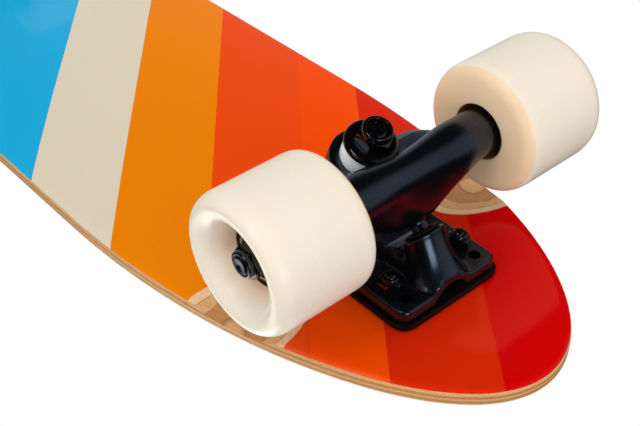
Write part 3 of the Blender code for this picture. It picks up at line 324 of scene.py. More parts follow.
class Finishes(PropertyGroup):
    """Colours of the print, the wood and the parts."""
    print_blue: colour("Print blue", (30, 170, 220), "Band at the tail")
    print_cream: colour("Print cream", (220, 209, 184), "Pale band")
    print_amber: colour("Print amber", (236, 129, 2), "Amber band")
    print_coral: colour("Print coral", (235, 72, 12), "Orange-red band")
    print_orange: colour("Print orange", (243, 74, 2), "Orange band at the truck")
    print_rust: colour("Print rust", (212, 38, 4), "Darker band before the nose")
    print_red: colour("Print red", (204, 2, 2), "Red band at the nose")
    ply_pale: colour("Pale ply", (232, 192, 148), "Pale maple ply")
    ply_tan: colour("Tan ply", (216, 166, 110), "Tan maple ply")
    ply_brown: colour("Brown ply", (188, 134, 80), "Brown maple ply")
    glue: colour("Glue", (146, 98, 62), "Glue between the plies")
    urethane: colour("Urethane", (234, 224, 208), "Wheels")
    # Amber painted glow inside the counterbore, for light passing through the urethane
    core: colour("Core", (196, 140, 74), "Urethane inside a wheel's counterbore")
    # Deep urethane is the colour of the painted warm shade in the funnels and on the inner faces
    urethane_painted_shade: colour("Deep urethane", (240, 200, 146), "Light that passes the wheels")
    bushing: colour("Bushing", (238, 242, 250), "Bushings")
    coat: colour("Black coat", (5, 5, 7), "Satin coat of the castings")
    black: colour("Black steel", (4, 4, 5), "Glossy black nuts, bolts and washers")
    rubber: colour("Rubber", (7, 7, 8), "Riser pads and pivot cups")
    shield: colour("Bearing shield", (78, 78, 84), "Shields of the bearings")
    # Also painted shade in the bearings' sunk gap and on their outer edges
    seat: colour("Bearing seat", (12, 12, 14), "Ring round the outer bearing")
    grit: colour("Grit", (27, 27, 28), "Grip tape")
    steel: colour("Steel", (176, 178, 182), "Bearing rings")
    axle: colour("Axle", (38, 42, 52), "Ends of the axle")


class StudioSettings(PropertyGroup):
    """Camera, lamps, room light and screen."""
    camera_place: FloatVectorProperty(name="Camera place", description="Where the camera is",
                                      default=(0.505025, 0.260161, -0.237833), unit="LENGTH")
    camera_turn: FloatVectorProperty(name="Camera turn", description="Turn of the camera",
                                     default=(-2.252069, -0.009199, -0.851149),
                                     unit="ROTATION")
    lens: share("Lens", 61.2816, "Focal length in millimetres on a sensor 36 mm wide")
    key_light: share("Key light", 2.0, "Watts of the light ahead of the nose")
    side_light: share("Side light", 4.2, "Watts of the soft light at the left side")
    top_light: share("Light from above", 12.0, "Watts of the soft light above the board")
    room_below: share("Room light from below", 0.93, "Strength of the light from below")
    room_above: share("Room light from above", 0.34, "Strength of the light from above")
    wall_light: share("Wall light", 0.42, "Strength at which the studio's walls are reflected")
    screen_reach: length("Screen reach", 5.0, "From the board to the screen round and below it")
    screen_rise: length("Screen rise", 4.4, "Height of the screen's edge above the floor")


# Meshes

def cleaned(bm):
    """Merge what meets and point the faces outwards."""
    bmesh.ops.remove_doubles(bm, verts=bm.verts, dist=1e-6)
    bmesh.ops.recalc_face_normals(bm, faces=bm.faces)
    return bm


def rounded(corners, closed=False, steps=5):
    """Points of an outline of (x, y, cut) corners, each cut back and drawn as a curve.

    A corner may have two cuts, one for each of its sides.
    """
    flat = [Vector(corner[:2]) for corner in corners]
    points = []
    for i, here in enumerate(flat):
        cuts = corners[i][2:]
        if not any(cuts) or (not closed and i in (0, len(flat) - 1)):
            points.append(here)
            continue
        back, ahead = flat[i - 1] - here, flat[(i + 1) % len(flat)] - here
        start = here + back.normalized() * min(cuts[0], 0.49 * back.length)
        end = here + ahead.normalized() * min(cuts[-1], 0.49 * ahead.length)
        for step in range(steps + 1):
            t = step / steps
            points.append((1 - t) ** 2 * start + 2 * t * (1 - t) * here + t * t * end)
    return points


def quarter(steps, turns=1.0):
    """Sines and cosines at equal steps of a quarter turn, or of so many quarter turns."""
    angles = [math.pi / 2 * turns * i / max(steps, 1) for i in range(steps + 1)]
    return [(math.sin(a), math.cos(a)) for a in angles]


def turned(outline, segments=96):
    """A solid turned about Z from an outline of (radius, height) points."""
    bm = bmesh.new()
    verts = [bm.verts.new((point[0], 0.0, point[1])) for point in outline]
    pairs = zip(verts, verts[1:] + verts[:1])
    edges = [bm.edges.new(pair) for pair in pairs if pair[0].co.x > 0 or pair[1].co.x > 0]
    bmesh.ops.spin(bm, geom=verts + edges, cent=(0, 0, 0), axis=(0, 0, 1),
                   angle=2 * math.pi, steps=segments, use_merge=True)
    return cleaned(bm)


def mirrored(outline):
    """The other half of an outline of (radius, height) points."""
    return [(radius, -height) for radius, height in reversed(outline)]


def skinned(rings, layer=None):
    """Wrap a grid round equal rings of points, merge its seam and fill its ends."""
    rows, count = len(rings) - 1, len(rings[0])
    bm = bmesh.new()
    bmesh.ops.create_grid(bm, x_segments=rows, y_segments=count, size=1.0)
    flat = bm.verts.layers.float_vector.new("board") if layer else None
    for vert in bm.verts:
        row = round((vert.co.x + 1) / 2 * rows)
        place = round((vert.co.y + 1) / 2 * count) % count
        if layer:
            vert[flat] = layer[row][place]
        vert.co = rings[row][place]
    bmesh.ops.remove_doubles(bm, verts=bm.verts, dist=1e-6)
    bmesh.ops.holes_fill(bm, edges=[edge for edge in bm.edges if edge.is_boundary])
    return cleaned(bm)


def rod(radius, low, high, segments=64):
    """A plain cylinder along Z, which cuts holes."""
    return turned([(0.0, low), (radius, low), (radius, high), (0.0, high)], segments)


def prism(across, low, high):
    """A hexagon bar along Z."""
    bm = bmesh.new()
    bmesh.ops.create_cone(bm, cap_ends=True, segments=6, radius1=across / math.sqrt(3),
                          radius2=across / math.sqrt(3), depth=high - low)
    bmesh.ops.rotate(bm, verts=bm.verts, matrix=Matrix.Rotation(math.pi / 6, 3, "Z"))
    bmesh.ops.translate(bm, verts=bm.verts, vec=(0, 0, (low + high) / 2))
    return bm


def moved(bm, matrix):
    """Move a bmesh and give it back."""
    bmesh.ops.transform(bm, matrix=matrix, verts=bm.verts)
    return bm


def linked(name, mesh):
    """A new object of the scene with a mesh."""
    obj = bpy.data.objects.new(name, mesh)
    bpy.context.scene.collection.objects.link(obj)
    return obj


def loose(bm, name="helper"):
    """An object that holds a bmesh, which is used up."""
    mesh = bpy.data.meshes.new(name)
    bm.to_mesh(mesh)
    bm.free()
    return linked(name, mesh)


def taken(target, others=()):
    """The shape of a helper with its modifiers, as a bmesh; the helpers are removed."""
    evaluated = target.evaluated_get(bpy.context.evaluated_depsgraph_get())
    bm = bmesh.new()
    bm.from_mesh(evaluated.to_mesh())
    for obj in [target, *others]:
        mesh = obj.data
        bpy.data.objects.remove(obj, do_unlink=True)
        bpy.data.meshes.remove(mesh)
    return bm


def worked(bm, operation, tools):
    """Join to a solid, cut from it or trim it by each of the tools."""
    target = loose(bm)
    cutters = [loose(tool) for tool in tools]
    for cutter in cutters:
        modifier = target.modifiers.new("work", "BOOLEAN")
        modifier.operation = operation
        modifier.solver = "MANIFOLD"
        modifier.object = cutter
    return taken(target, cutters)


def cast(bm, grain):
    """Give a solid the soft edges and fillets of a casting."""
    target = loose(bm)
    skin = target.modifiers.new("skin", "REMESH")
    skin.mode = "VOXEL"
    skin.voxel_size = grain
    soft = target.modifiers.new("soft", "SMOOTH")
    soft.factor = 0.5
    soft.iterations = CAST_PASSES
    return taken(target)


def softened(bm, place, low, high, keep=None):
    """Smooth a solid within a box of a frame, most in its middle, into large fillets."""
    to_box = place.inverted()
    spots = [(vert, to_box @ vert.co) for vert in bm.verts]
    for i in range(SOFT_ROUNDS):
        inset = SOFT_STEP * i
        inside = [vert for vert, spot in spots
                  if all(a + inset < value < b - inset for a, value, b in zip(low, spot, high))
                  and not (keep and keep(spot))]
        for _ in range(SOFT_PASSES):
            bmesh.ops.smooth_vert(bm, verts=inside, factor=0.5, use_axis_x=True,
                                  use_axis_y=True, use_axis_z=True)
    return bm


def put(name, bm, finishes, body, nodes, place, painted=None):
    """Make a finished piece from a copy of a bmesh: it rides on a body and replaces nodes."""
    mesh = bpy.data.meshes.new(name)
    bm.to_mesh(mesh)
    mesh.transform(place)
    for finish in finishes:
        mesh.materials.append(all_finishes()[finish])
    if painted:
        for polygon in mesh.polygons:
            polygon.material_index = painted(place.inverted() @ polygon.center)
    mesh.shade_smooth()
    mesh.set_sharp_from_angle(angle=SHARP)
    piece = linked(name, mesh)
    if body:
        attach(piece, body)
    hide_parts(*nodes)
    return piece


def put_on_trucks(name, bm, finish, body, replaced, place=Matrix.Identity(4)):
    """Make a piece of both trucks, which stays with the board or turns with the hanger."""
    for end in ENDS:
        put(f"{end}_{name}", bm, [finish], body if body == "board" else f"{end}_{body}",
            [f"{end}_{replaced}"], truck_place(end) @ place)


# Shader nodes

def feed(tree, socket, value):
    """Link a socket to an output, or set its value."""
    if isinstance(value, bpy.types.NodeSocket):
        tree.links.new(value, socket)
    elif hasattr(value, "__len__") and len(value) == 3 and len(socket.default_value) == 4:
        socket.default_value = (*value, 1.0)
    else:
        socket.default_value = value


def node(tree, kind, inputs=None, **settings):
    """Add a shader node with its settings and inputs."""
    item = tree.nodes.new("ShaderNode" + kind)
    for key, value in settings.items():
        setattr(item, key, value)
    for key, value in (inputs or {}).items():
        feed(tree, item.inputs[key], value)
    return item


def maths(tree, operation, *values):
    """The result of a Math node."""
    item = node(tree, "Math", operation=operation)
    for socket, value in zip(item.inputs, values):
        feed(tree, socket, value)
    return item.outputs[0]


def spread(tree, value, low, high, new_low=0.0, new_high=1.0):
    """Map a value from one range to another and clamp it."""
    item = node(tree, "MapRange", {"Value": value, "From Min": low, "From Max": high,
                                   "To Min": new_low, "To Max": new_high})
    return item.outputs["Result"]


def mixed(tree, factor, first, second, mode="MIX"):
    """Mix two colours."""
    item = node(tree, "Mix", data_type="RGBA", blend_type=mode)
    feed(tree, item.inputs[0], factor)
    feed(tree, item.inputs[6], first)
    feed(tree, item.inputs[7], second)
    return item.outputs[2]


def ramp(tree, factor, stops, mode="LINEAR"):
    """Colours along a factor: stops are (position, colour)."""
    item = node(tree, "ValToRGB", {"Fac": factor})
    band = item.color_ramp
    band.interpolation = mode
    for element, stop in zip(band.elements, (stops[0], stops[-1])):
        element.position = stop[0]
        element.color = (*stop[1], 1.0)
    for position, tint in stops[1:-1]:
        band.elements.new(position).color = (*tint, 1.0)
    return item.outputs["Color"]


def noise(tree, vector, size, detail=3.0, roughness=0.5):
    """Noise whose lumps have a size in metres."""
    item = node(tree, "TexNoise", {"Vector": vector, "Scale": 1.0 / size, "Detail": detail,
                                   "Roughness": roughness})
    return item.outputs["Fac"]


def new_group(name, inputs, outputs):
    """An empty shader group with named sockets, and its two end nodes."""
    tree = bpy.data.node_groups.new(name, "ShaderNodeTree")
    for label, kind, value in inputs:
        socket = tree.interface.new_socket(name=label, in_out="INPUT",
                                           socket_type="NodeSocket" + kind)
        if value is not None:
            socket.default_value = value
    for label, kind in outputs:
        tree.interface.new_socket(name=label, in_out="OUTPUT", socket_type="NodeSocket" + kind)
    return tree, tree.nodes.new("NodeGroupInput"), tree.nodes.new("NodeGroupOutput")


def use_group(tree, name, **inputs):
    """Place a shader group in a tree with its own values, and give its outputs."""
    item = node(tree, "Group", node_tree=bpy.data.node_groups[name])
    for key, value in inputs.items():
        feed(tree, item.inputs[key.title()], value)
    return item.outputs


def grain(tree, size, low, high):
    """Value and Height of fine lumps with a size in metres and a value between two limits."""
    return use_group(tree, "Fine Grain", size=size, low=low, high=high)


def rubs(tree, amount):
    """Where handling has marked a surface."""
    return use_group(tree, "Handling Marks", amount=amount)["Mask"]


def grain_group():
    """Fine lumps on a surface: a value between two limits and a height."""
    tree, start, end = new_group(
        "Fine Grain",
        [("Size", "Float", 0.0005), ("Low", "Float", 0.0), ("High", "Float", 1.0)],
        [("Value", "Float"), ("Height", "Float")])
    place = node(tree, "TexCoord").outputs["Object"]
    scale = maths(tree, "DIVIDE", 1.0, start.outputs["Size"])
    item = node(tree, "TexNoise", {"Vector": place, "Scale": scale, "Detail": 4.0})
    spots = spread(tree, item.outputs["Fac"], 0.3, 0.7, start.outputs["Low"],
                   start.outputs["High"])
    feed(tree, end.inputs["Value"], spots)
    feed(tree, end.inputs["Height"], item.outputs["Fac"])


def handling_group():
    """Faint rubs and dust from handling: broad soft patches broken by short scratches."""
    tree, start, end = new_group("Handling Marks", [("Amount", "Float", 0.5)],
                                 [("Mask", "Float")])
    place = node(tree, "TexCoord").outputs["Object"]
    patches = spread(tree, noise(tree, place, 0.02), 0.52, 0.72)
    turn = node(tree, "Mapping", {"Vector": place, "Rotation": (0.4, 0.3, 0.9),
                                  "Scale": (1.0, 14.0, 9.0)})
    lines = spread(tree, noise(tree, turn.outputs["Vector"], 0.012, 5.0), 0.60, 0.68)
    marks = maths(tree, "MULTIPLY", patches, maths(tree, "ADD", lines, 0.35))
    feed(tree, end.inputs["Mask"], maths(tree, "MULTIPLY", marks, start.outputs["Amount"]))


def well_group():
    """Where the wheel wells are cut, from places along and across the flat board."""
    deck = bpy.context.scene.deck_sizes
    tree, start, end = new_group("Wheel Wells", [("Board", "Vector", None)],
                                 [("Mask", "Float")])
    parts = node(tree, "SeparateXYZ", {"Vector": start.outputs["Board"]})
    middle = deck.wheelbase / 2
    along = maths(tree, "ABSOLUTE", maths(tree, "ADD", parts.outputs["X"], middle))
    along = maths(tree, "SUBTRACT", along, middle - deck.well_setback)
    along = maths(tree, "DIVIDE", along, deck.well_length / 2)
    across = maths(tree, "SUBTRACT", maths(tree, "ABSOLUTE", parts.outputs["Y"]),
                   deck.well_spread)
    across = maths(tree, "DIVIDE", across, deck.well_reach)
    far = maths(tree, "ADD", maths(tree, "MULTIPLY", along, along),
                maths(tree, "MULTIPLY", across, across))
    feed(tree, end.inputs["Mask"], spread(tree, far, 1.01, 0.995))


def wood_group():
    """Glued maple plies seen on a cut: colour and height from a place on the flat board."""
    deck, tint = bpy.context.scene.deck_sizes, bpy.context.scene.finishes
    tree, start, end = new_group("Maple Plies", [("Board", "Vector", None)],
                                 [("Color", "Color"), ("Height", "Float")])
    board = start.outputs["Board"]
    parts = node(tree, "SeparateXYZ", {"Vector": board})
    waves = node(tree, "Mapping", {"Vector": board, "Scale": (1.0, 3.0, 3.0)})
    wander = maths(tree, "MULTIPLY",
                   maths(tree, "SUBTRACT", noise(tree, waves.outputs["Vector"], 0.03, 2.0), 0.5),
                   0.0009)
    height = maths(tree, "ADD", parts.outputs["Z"], wander)
    level = maths(tree, "DIVIDE", height, deck.ply * deck.ply_count)
    stops = [(i / len(PLIES), tuple(getattr(tint, name))) for i, name in enumerate(PLIES)]
    plies = ramp(tree, level, stops, "CONSTANT")
    layer = maths(tree, "FRACT", maths(tree, "DIVIDE", height, deck.ply))
    glue = spread(tree, maths(tree, "ABSOLUTE", maths(tree, "SUBTRACT", layer, 0.5)), 0.40, 0.50)
    streaks = node(tree, "Mapping", {"Vector": board, "Scale": (1.0, 26.0, 26.0)})
    fibre = noise(tree, streaks.outputs["Vector"], 0.018, 6.0, 0.62)
    fibre_tint = spread(tree, fibre, 0.30, 0.72, 0.80, 1.10)
    wood = mixed(tree, 1.0, plies, node(tree, "CombineColor", {
        "Red": fibre_tint, "Green": fibre_tint, "Blue": fibre_tint}).outputs[0], "MULTIPLY")
    wood = mixed(tree, maths(tree, "MULTIPLY", glue, 0.6), wood, tuple(tint.glue))
    feed(tree, end.inputs["Color"], wood)
    feed(tree, end.inputs["Height"], fibre)


def print_group():
    """The slanted bands printed on the underside, from a place on the flat board, with painted
    shade across it.
    """
    deck, tint = bpy.context.scene.deck_sizes, bpy.context.scene.finishes
    tree, start, end = new_group("Printed Bands", [("Board", "Vector", None)],
                                 [("Color", "Color")])
    parts = node(tree, "SeparateXYZ", {"Vector": start.outputs["Board"]})
    place = maths(tree, "SUBTRACT",
                  maths(tree, "MULTIPLY", parts.outputs["Y"], math.cos(deck.print_slant)),
                  maths(tree, "MULTIPLY", parts.outputs["X"], math.sin(deck.print_slant)))
    stops = [((edge - PRINT_START) / PRINT_REACH, tuple(getattr(tint, name)))
             for name, edge in PRINT_BANDS]
    bands = ramp(tree, maths(tree, "DIVIDE", maths(tree, "SUBTRACT", place, PRINT_START),
                             PRINT_REACH), stops, "CONSTANT")
    # Painted shade: the print is lighter at the -Y edge and darker at the +Y edge
    shade = spread(tree, parts.outputs["Y"], -0.09, 0.09, 1.05, 0.90)
    ink = noise(tree, start.outputs["Board"], 0.0011, 2.0)
    value = maths(tree, "MULTIPLY", shade, spread(tree, ink, 0.3, 0.7, 0.985, 1.015))
    item = node(tree, "HueSaturation", {"Color": bands, "Value": value})
    feed(tree, end.inputs["Color"], item.outputs["Color"])


def material(name, **sockets):
    """A new material with a Principled shader, whose plain sockets are set."""
    item = bpy.data.materials.new(name)
    item.use_nodes = True
    shader = item.node_tree.nodes["Principled BSDF"]
    for key, value in sockets.items():
        feed(item.node_tree, shader.inputs[key.replace("_", " ")], value)
    return item, item.node_tree, shader


def dress(tree, shader, base, roughness, height, depth, strength=0.5):
    """Feed a shader its colour and roughness, and raise it by a height times a depth in metres."""
    item = node(tree, "Bump", {"Height": height, "Distance": depth, "Strength": strength})
    feed(tree, shader.inputs["Base Color"], base)
    feed(tree, shader.inputs["Roughness"], roughness)
    feed(tree, shader.inputs["Normal"], item.outputs["Normal"])


def brighter(tint, gain, lift=0.0):
    """A colour times a gain, with a lift, within the range of a surface."""
    return tuple(min(c * gain + lift, 1.0) for c in tint)


def deck_finish():
    """Lacquered print below, bare plies on the edge and in the wells."""
    deck = bpy.context.scene.deck_sizes
    item, tree, shader = material("lacquered_print_on_maple", Specular_IOR_Level=0.15)
    board = node(tree, "Attribute", attribute_name="board").outputs["Vector"]
    height = node(tree, "SeparateXYZ", {"Vector": board}).outputs["Z"]
    wells, wood, bands = [use_group(tree, name, board=board)
                          for name in ("Wheel Wells", "Maple Plies", "Printed Bands")]
    low = spread(tree, height, deck.print_wrap, deck.print_wrap + 0.0001, 1.0, 0.0)
    printed = maths(tree, "MULTIPLY", low, maths(tree, "SUBTRACT", 1.0, wells["Mask"]))
    bare = maths(tree, "SUBTRACT", 1.0, printed)
    dress(tree, shader, mixed(tree, printed, wood["Color"], bands["Color"]),
          maths(tree, "ADD", spread(tree, printed, 0.0, 1.0, 0.42, 0.10), rubs(tree, 0.08)),
          maths(tree, "MULTIPLY", wood["Height"], bare), 0.00012, 0.6)
    return item


def grip_finish():
    """Coarse black grit with a little sparkle."""
    tint = bpy.context.scene.finishes.grit
    item, tree, shader = material("black_grit", Specular_IOR_Level=0.35)
    height = maths(tree, "MULTIPLY", grain(tree, 0.0007, 0.0, 1.0)["Value"],
                   grain(tree, 0.00028, 0.0, 1.0)["Value"])
    dress(tree, shader, mixed(tree, height, brighter(tint, 0.45), brighter(tint, 2.6)),
          spread(tree, height, 0.1, 0.7, 0.95, 0.6), height, 0.00035, 1.0)
    return item


def coat_finish():
    """Satin black coat on cast metal, with a fine orange peel."""
    tint = bpy.context.scene.finishes.coat
    item, tree, shader = material("satin_black_casting", Specular_IOR_Level=1.0,
                                  Specular_Tint=(0.56, 0.70, 1.0, 1.0))
    peel, lumps = grain(tree, 0.0009, 0.18, 0.26), grain(tree, 0.0035, 0.0, 1.0)
    marks = rubs(tree, 0.12)
    pale = maths(tree, "ADD", marks, maths(tree, "MULTIPLY", lumps["Value"], 0.25))
    height = maths(tree, "ADD", peel["Height"], maths(tree, "MULTIPLY", lumps["Height"], 1.5))
    dress(tree, shader, mixed(tree, pale, tuple(tint), brighter(tint, 1.9, 0.001)),
          maths(tree, "ADD", peel["Value"], marks), height, 0.00003)
    return item


def rubbed_finish(name, tint, rubbed, fine, amount, depth, strength=0.5, dulled=False, **sockets):
    """A plain finish with fine grain, whose colour changes where handling has rubbed it."""
    item, tree, shader = material(name, **sockets)
    lumps, marks = grain(tree, *fine), rubs(tree, amount)
    roughness = maths(tree, "ADD", lumps["Value"], marks) if dulled else lumps["Value"]
    dress(tree, shader, mixed(tree, marks, tuple(tint), rubbed), roughness, lumps["Height"],
          depth, strength)
    return item


def black_finish():
    """Glossy black plated steel of nuts, bolts and washers."""
    tint = bpy.context.scene.finishes.black
    return rubbed_finish("gloss_black_steel", tint, brighter(tint, 3.0, 0.002),
                         (0.0006, 0.08, 0.16), 0.15, 0.00002, dulled=True,
                         Specular_IOR_Level=1.0, Specular_Tint=(0.80, 0.88, 1.0, 1.0))


def steel_finish(name, tint, low, high):
    """Bare turned steel, dark or bright."""
    return rubbed_finish(name, tint, brighter(tint, 0.6), (0.0004, low, high), 0.2, 0.00002,
                         Metallic=1.0)


def rubber_finish(name, tint):
    """Rubber of pads, cups and bearing shields."""
    return rubbed_finish(name, tint, brighter(tint, 2.2), (0.0008, 0.42, 0.60), 0.2, 0.00004,
                         0.6, Specular_IOR_Level=0.15)


def urethane_finish(name, shade, painted_shade_tint):
    """Thick urethane, which light passes a little way into, with painted warm shade in its colour.
    """
    item, tree, shader = material(
        name, Subsurface_Weight=0.35, Subsurface_Radius=(0.012, 0.0075, 0.004),
        Subsurface_Scale=1.0, Specular_IOR_Level=0.28)
    clouds, skin = grain(tree, 0.03, 0.0, 0.22), grain(tree, 0.0012, 0.20, 0.27)
    # Painted warm shade from the wheel's attribute, mixed with random clouds into the colour
    warm = node(tree, "Attribute", attribute_name="warm").outputs["Fac"]
    depth = maths(tree, "MAXIMUM", warm, maths(tree, "MULTIPLY", clouds["Value"], 0.3))
    dress(tree, shader, mixed(tree, depth, tuple(shade), tuple(painted_shade_tint)),
          maths(tree, "ADD", skin["Value"], rubs(tree, 0.06)), skin["Height"], 0.00003, 0.6)
    return item


def bushing_finish():
    """Glossy pale urethane of the bushings."""
    tint = bpy.context.scene.finishes.bushing
    item, tree, shader = material(
        "pale_bushing_urethane", Subsurface_Weight=0.3, Subsurface_Radius=(0.003, 0.0035, 0.004),
        Subsurface_Scale=1.0)
    clouds, skin = grain(tree, 0.006, 0.0, 0.5), grain(tree, 0.0008, 0.14, 0.22)
    dress(tree, shader, mixed(tree, clouds["Value"], tuple(tint), brighter(tint, 1.12)),
          skin["Value"], skin["Height"], 0.00002)
    return item


def all_finishes():
    """The object's materials by name, made once."""
    made = {item.get("finish"): item for item in bpy.data.materials if item.get("finish")}
    if made:
        return made
    tint = bpy.context.scene.finishes
    for make_group in (grain_group, handling_group, well_group, wood_group, print_group):
        make_group()
    made = {
        "deck": deck_finish(),
        "grip": grip_finish(),
        "coat": coat_finish(),
        "black": black_finish(),
        "axle": steel_finish("dark_axle_steel", tint.axle, 0.25, 0.4),
        "steel": steel_finish("bearing_steel", tint.steel, 0.12, 0.25),
        "urethane": urethane_finish("cream_urethane", tint.urethane, tint.urethane_painted_shade),
        # Amber in the counterbore is a painted glow of light through the urethane
        "core": urethane_finish("amber_core_urethane", tint.core, tint.core),
        "bushing": bushing_finish(),
        "rubber": rubber_finish("black_rubber", tint.rubber),
        "shield": rubber_finish("grey_bearing_shield", tint.shield),
        # Dark seat ring of the wheels, and painted shade in the bearings' gap and on their outer
        # edges
        "seat": rubber_finish("dark_bearing_seat", tint.seat),
    }
    for name, item in made.items():
        item["finish"] = name
    return made


# Places

def truck_place(end):
    """A truck's frame in the world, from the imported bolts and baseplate."""
    boxes = [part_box(f"{end}_{row}_{side}_bolt") for row in ("outer", "inner") for side in SIDES]
    x = sum(low.x + high.x for low, high in boxes) / 8
    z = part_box(end + "_baseplate")[1].z - bpy.context.scene.truck_sizes.plate
    turn = Matrix.Identity(4) if end == "front" else Matrix.Rotation(math.pi, 4, "Z")
    return Matrix.Translation((x, 0, z)) @ turn


def side_of(end, side):
    """+1 where a board's side is +Y in its truck's frame, -1 where it is -Y."""
    return (1 if side == "left" else -1) * (1 if end == "front" else -1)


def kingpin_place():
    """Where the kingpin leaves the plate, with +Z along it to the road."""
    truck = bpy.context.scene.truck_sizes
    return (Matrix.Translation((-truck.setback, 0, 0))
            @ Matrix.Rotation(math.pi - truck.lean, 4, "Y"))


def ring_place():
    """The middle of the hanger's ring, with +Z along the kingpin to the deck."""
    truck = bpy.context.scene.truck_sizes
    centre = kingpin_place() @ Vector((0, 0, truck.ring_centre))
    return Matrix.Translation(centre) @ Matrix.Rotation(-truck.lean, 4, "Y")


def pivot_place():
    """The pivot ball, with +Z back out of the cup along the pivot pin."""
    truck = bpy.context.scene.truck_sizes
    return (Matrix.Translation((truck.pivot_x, 0, -truck.pivot_drop))
            @ Matrix.Rotation(-math.pi / 2 - truck.pivot_lean, 4, "Y"))


def axle_place():
    """The middle of the axle, with +Z along it to -Y."""
    truck = bpy.context.scene.truck_sizes
    return (Matrix.Translation((truck.axle_x, 0, -truck.axle_drop))
            @ Matrix.Rotation(math.pi / 2, 4, "X"))


def bolt_places():
    """The four bolts in a truck's frame, as row, side of the frame and place."""
    truck = bpy.context.scene.truck_sizes
    half_x, half_y = truck.bolt_spacing_x / 2, truck.bolt_spacing_y / 2
    return [(row, y, Vector((x * half_x, y * half_y, 0)))
            for row, x in (("outer", 1), ("inner", -1)) for y in (1, -1)]


def deck_low():
    """Height of the deck's underside over the truck frame."""
    truck = bpy.context.scene.truck_sizes
    return truck.plate + truck.riser + 2 * SEAT_GAP


# Deck

def bend(along):
    """Side view of the deck: distance along it to x, z and slope of its underside."""
    deck = bpy.context.scene.deck_sizes
    tip, tail = deck.nose_overhang, deck.nose_overhang - deck.board_length
    if along > tip - deck.nose_kick:
        start, side = tip - deck.nose_kick, 1
        radius, turn = deck.nose_radius, deck.nose_angle
    elif along < tail + deck.tail_kick:
        start, side = tail + deck.tail_kick, -1
        radius, turn = deck.tail_radius, deck.tail_angle
    else:
        return along, 0.0, 0.0
    past = abs(along - start)
    turned_by = min(past / radius, turn)
    straight = max(past - radius * turn, 0.0)
    run = radius * math.sin(turned_by) + straight * math.cos(turn)
    rise = radius * (1 - math.cos(turned_by)) + straight * math.sin(turn)
    return start + side * run, rise, side * turned_by


def on_deck(flat):
    """A place (along, across, height) of the flat board, bent and dished."""
    deck = bpy.context.scene.deck_sizes
    along, across, height = flat
    x, z, slope = bend(along)
    past = max(abs(across) - deck.flat_width / 2, 0.0)
    lift = height + deck.concave_rise * (past * 2 / (deck.board_width - deck.flat_width)) ** 2
    return Vector((x - lift * math.sin(slope), across, z + lift * math.cos(slope)))


def half_width(along):
    """Half width of the deck, and the outward direction of its edge."""
    deck = bpy.context.scene.deck_sizes
    widest = deck.board_width / 2
    nose_start = deck.nose_overhang - deck.nose_sweep
    tail_start = deck.nose_overhang - deck.board_length + deck.tail_sweep
    if along > nose_start:
        sweep, power, side = deck.nose_sweep, deck.nose_squareness, 1
        part = (along - nose_start) / sweep
    elif along < tail_start:
        sweep, power, side = deck.tail_sweep, deck.tail_squareness, -1
        part = (tail_start - along) / sweep
    else:
        return widest, Vector((0, 1))
    part = min(part, 1.0)
    wide = (1 - part ** power) ** (1 / power)
    normal = Vector((side * part ** (power - 1) / sweep, wide ** (power - 1) / widest))
    return widest * wide, normal.normalized()


def well_depth(along, across):
    """How deep a wheel well is cut at a place on the flat board."""
    deck = bpy.context.scene.deck_sizes
    middle = deck.wheelbase / 2
    from_well = abs(along + middle) - (middle - deck.well_setback)
    far = (from_well / (deck.well_length / 2)) ** 2
    far += ((abs(across) - deck.well_spread) / deck.well_reach) ** 2
    return deck.well_depth * max(1 - far, 0.0)


def deck_stations():
    """Rows of points along the board, close together at its tips, bends and wells."""
    deck = bpy.context.scene.deck_sizes
    tip, tail = deck.nose_overhang, deck.nose_overhang - deck.board_length
    steps, well_rows, middle_rows, spacing = 44, 36, 60, 0.006
    places = [tip - deck.nose_sweep * (1 - c) for _, c in quarter(steps)]
    places += [tail + deck.tail_sweep * (1 - c ** (2 / deck.tail_squareness))
               for _, c in quarter(steps)]
    for middle in (-deck.well_setback, deck.well_setback - deck.wheelbase):
        places += [middle + deck.well_length * (i / well_rows - 0.5)
                   for i in range(well_rows + 1)]
    places += [places[steps] - spacing * i for i in range(middle_rows)]
    kept, least = [], 0.00002
    for place in sorted(places, reverse=True):
        if tail <= place and (not kept or kept[-1] - place > least or place == tail):
            kept.append(place)
    return kept


def slab(low, high, inset, edge_round, holes):
    """A board that follows the deck between two heights, drawn in from its outline."""
    rim = [(edge_round * (1 - s), low + edge_round * (1 - c))
           for s, c in quarter(6 if edge_round else 0)]
    rim += [(draw, low + high - height) for draw, height in reversed(rim)]
    columns = 44
    flat_rings = []
    for along in deck_stations():
        half, normal = half_width(along)
        sides = []
        for draw, height in rim:
            across = max(half - normal.y * (inset + draw), 0.0)
            sides.append((along - normal.x * (inset + draw), across, height))
        under, over = sides[0], sides[-1]
        ring = [(under[0], under[1] * (2 * i / columns - 1), low) for i in range(columns)]
        ring += sides
        ring += [(over[0], over[1] * (1 - 2 * i / columns), high) for i in range(1, columns)]
        ring += [(u, -v, height) for u, v, height in reversed(sides[1:])]
        if edge_round:
            ring = [(u, v, max(height, well_depth(u, v)) if height < high / 2 else height)
                    for u, v, height in ring]
        flat_rings.append(ring)
    bm = skinned([[on_deck(point) for point in ring] for ring in flat_rings], flat_rings)
    return worked(bm, "DIFFERENCE", holes)


def head_cutters(gap):
    """Cutters for the countersunk bolts of both trucks, in the deck's frame."""
    deck, truck = bpy.context.scene.deck_sizes, bpy.context.scene.truck_sizes
    top = deck.ply * deck.ply_count + SEAT_GAP + deck.grip
    low, high = -2 * OVERCUT, top + 2 * OVERCUT
    flare = truck.bolt_head + gap
    outline = [(0, low), (truck.bolt_hole, low),
               (truck.bolt_hole, top - truck.head_depth - gap), (flare, top - gap),
               (flare, high), (0, high)]
    cutters = []
    for shift in (0.0, -deck.wheelbase):
        for _, _, spot in bolt_places():
            place = Matrix.Translation((spot.x + shift, spot.y, 0))
            cutters.append(moved(turned(outline, 32), place))
    return cutters


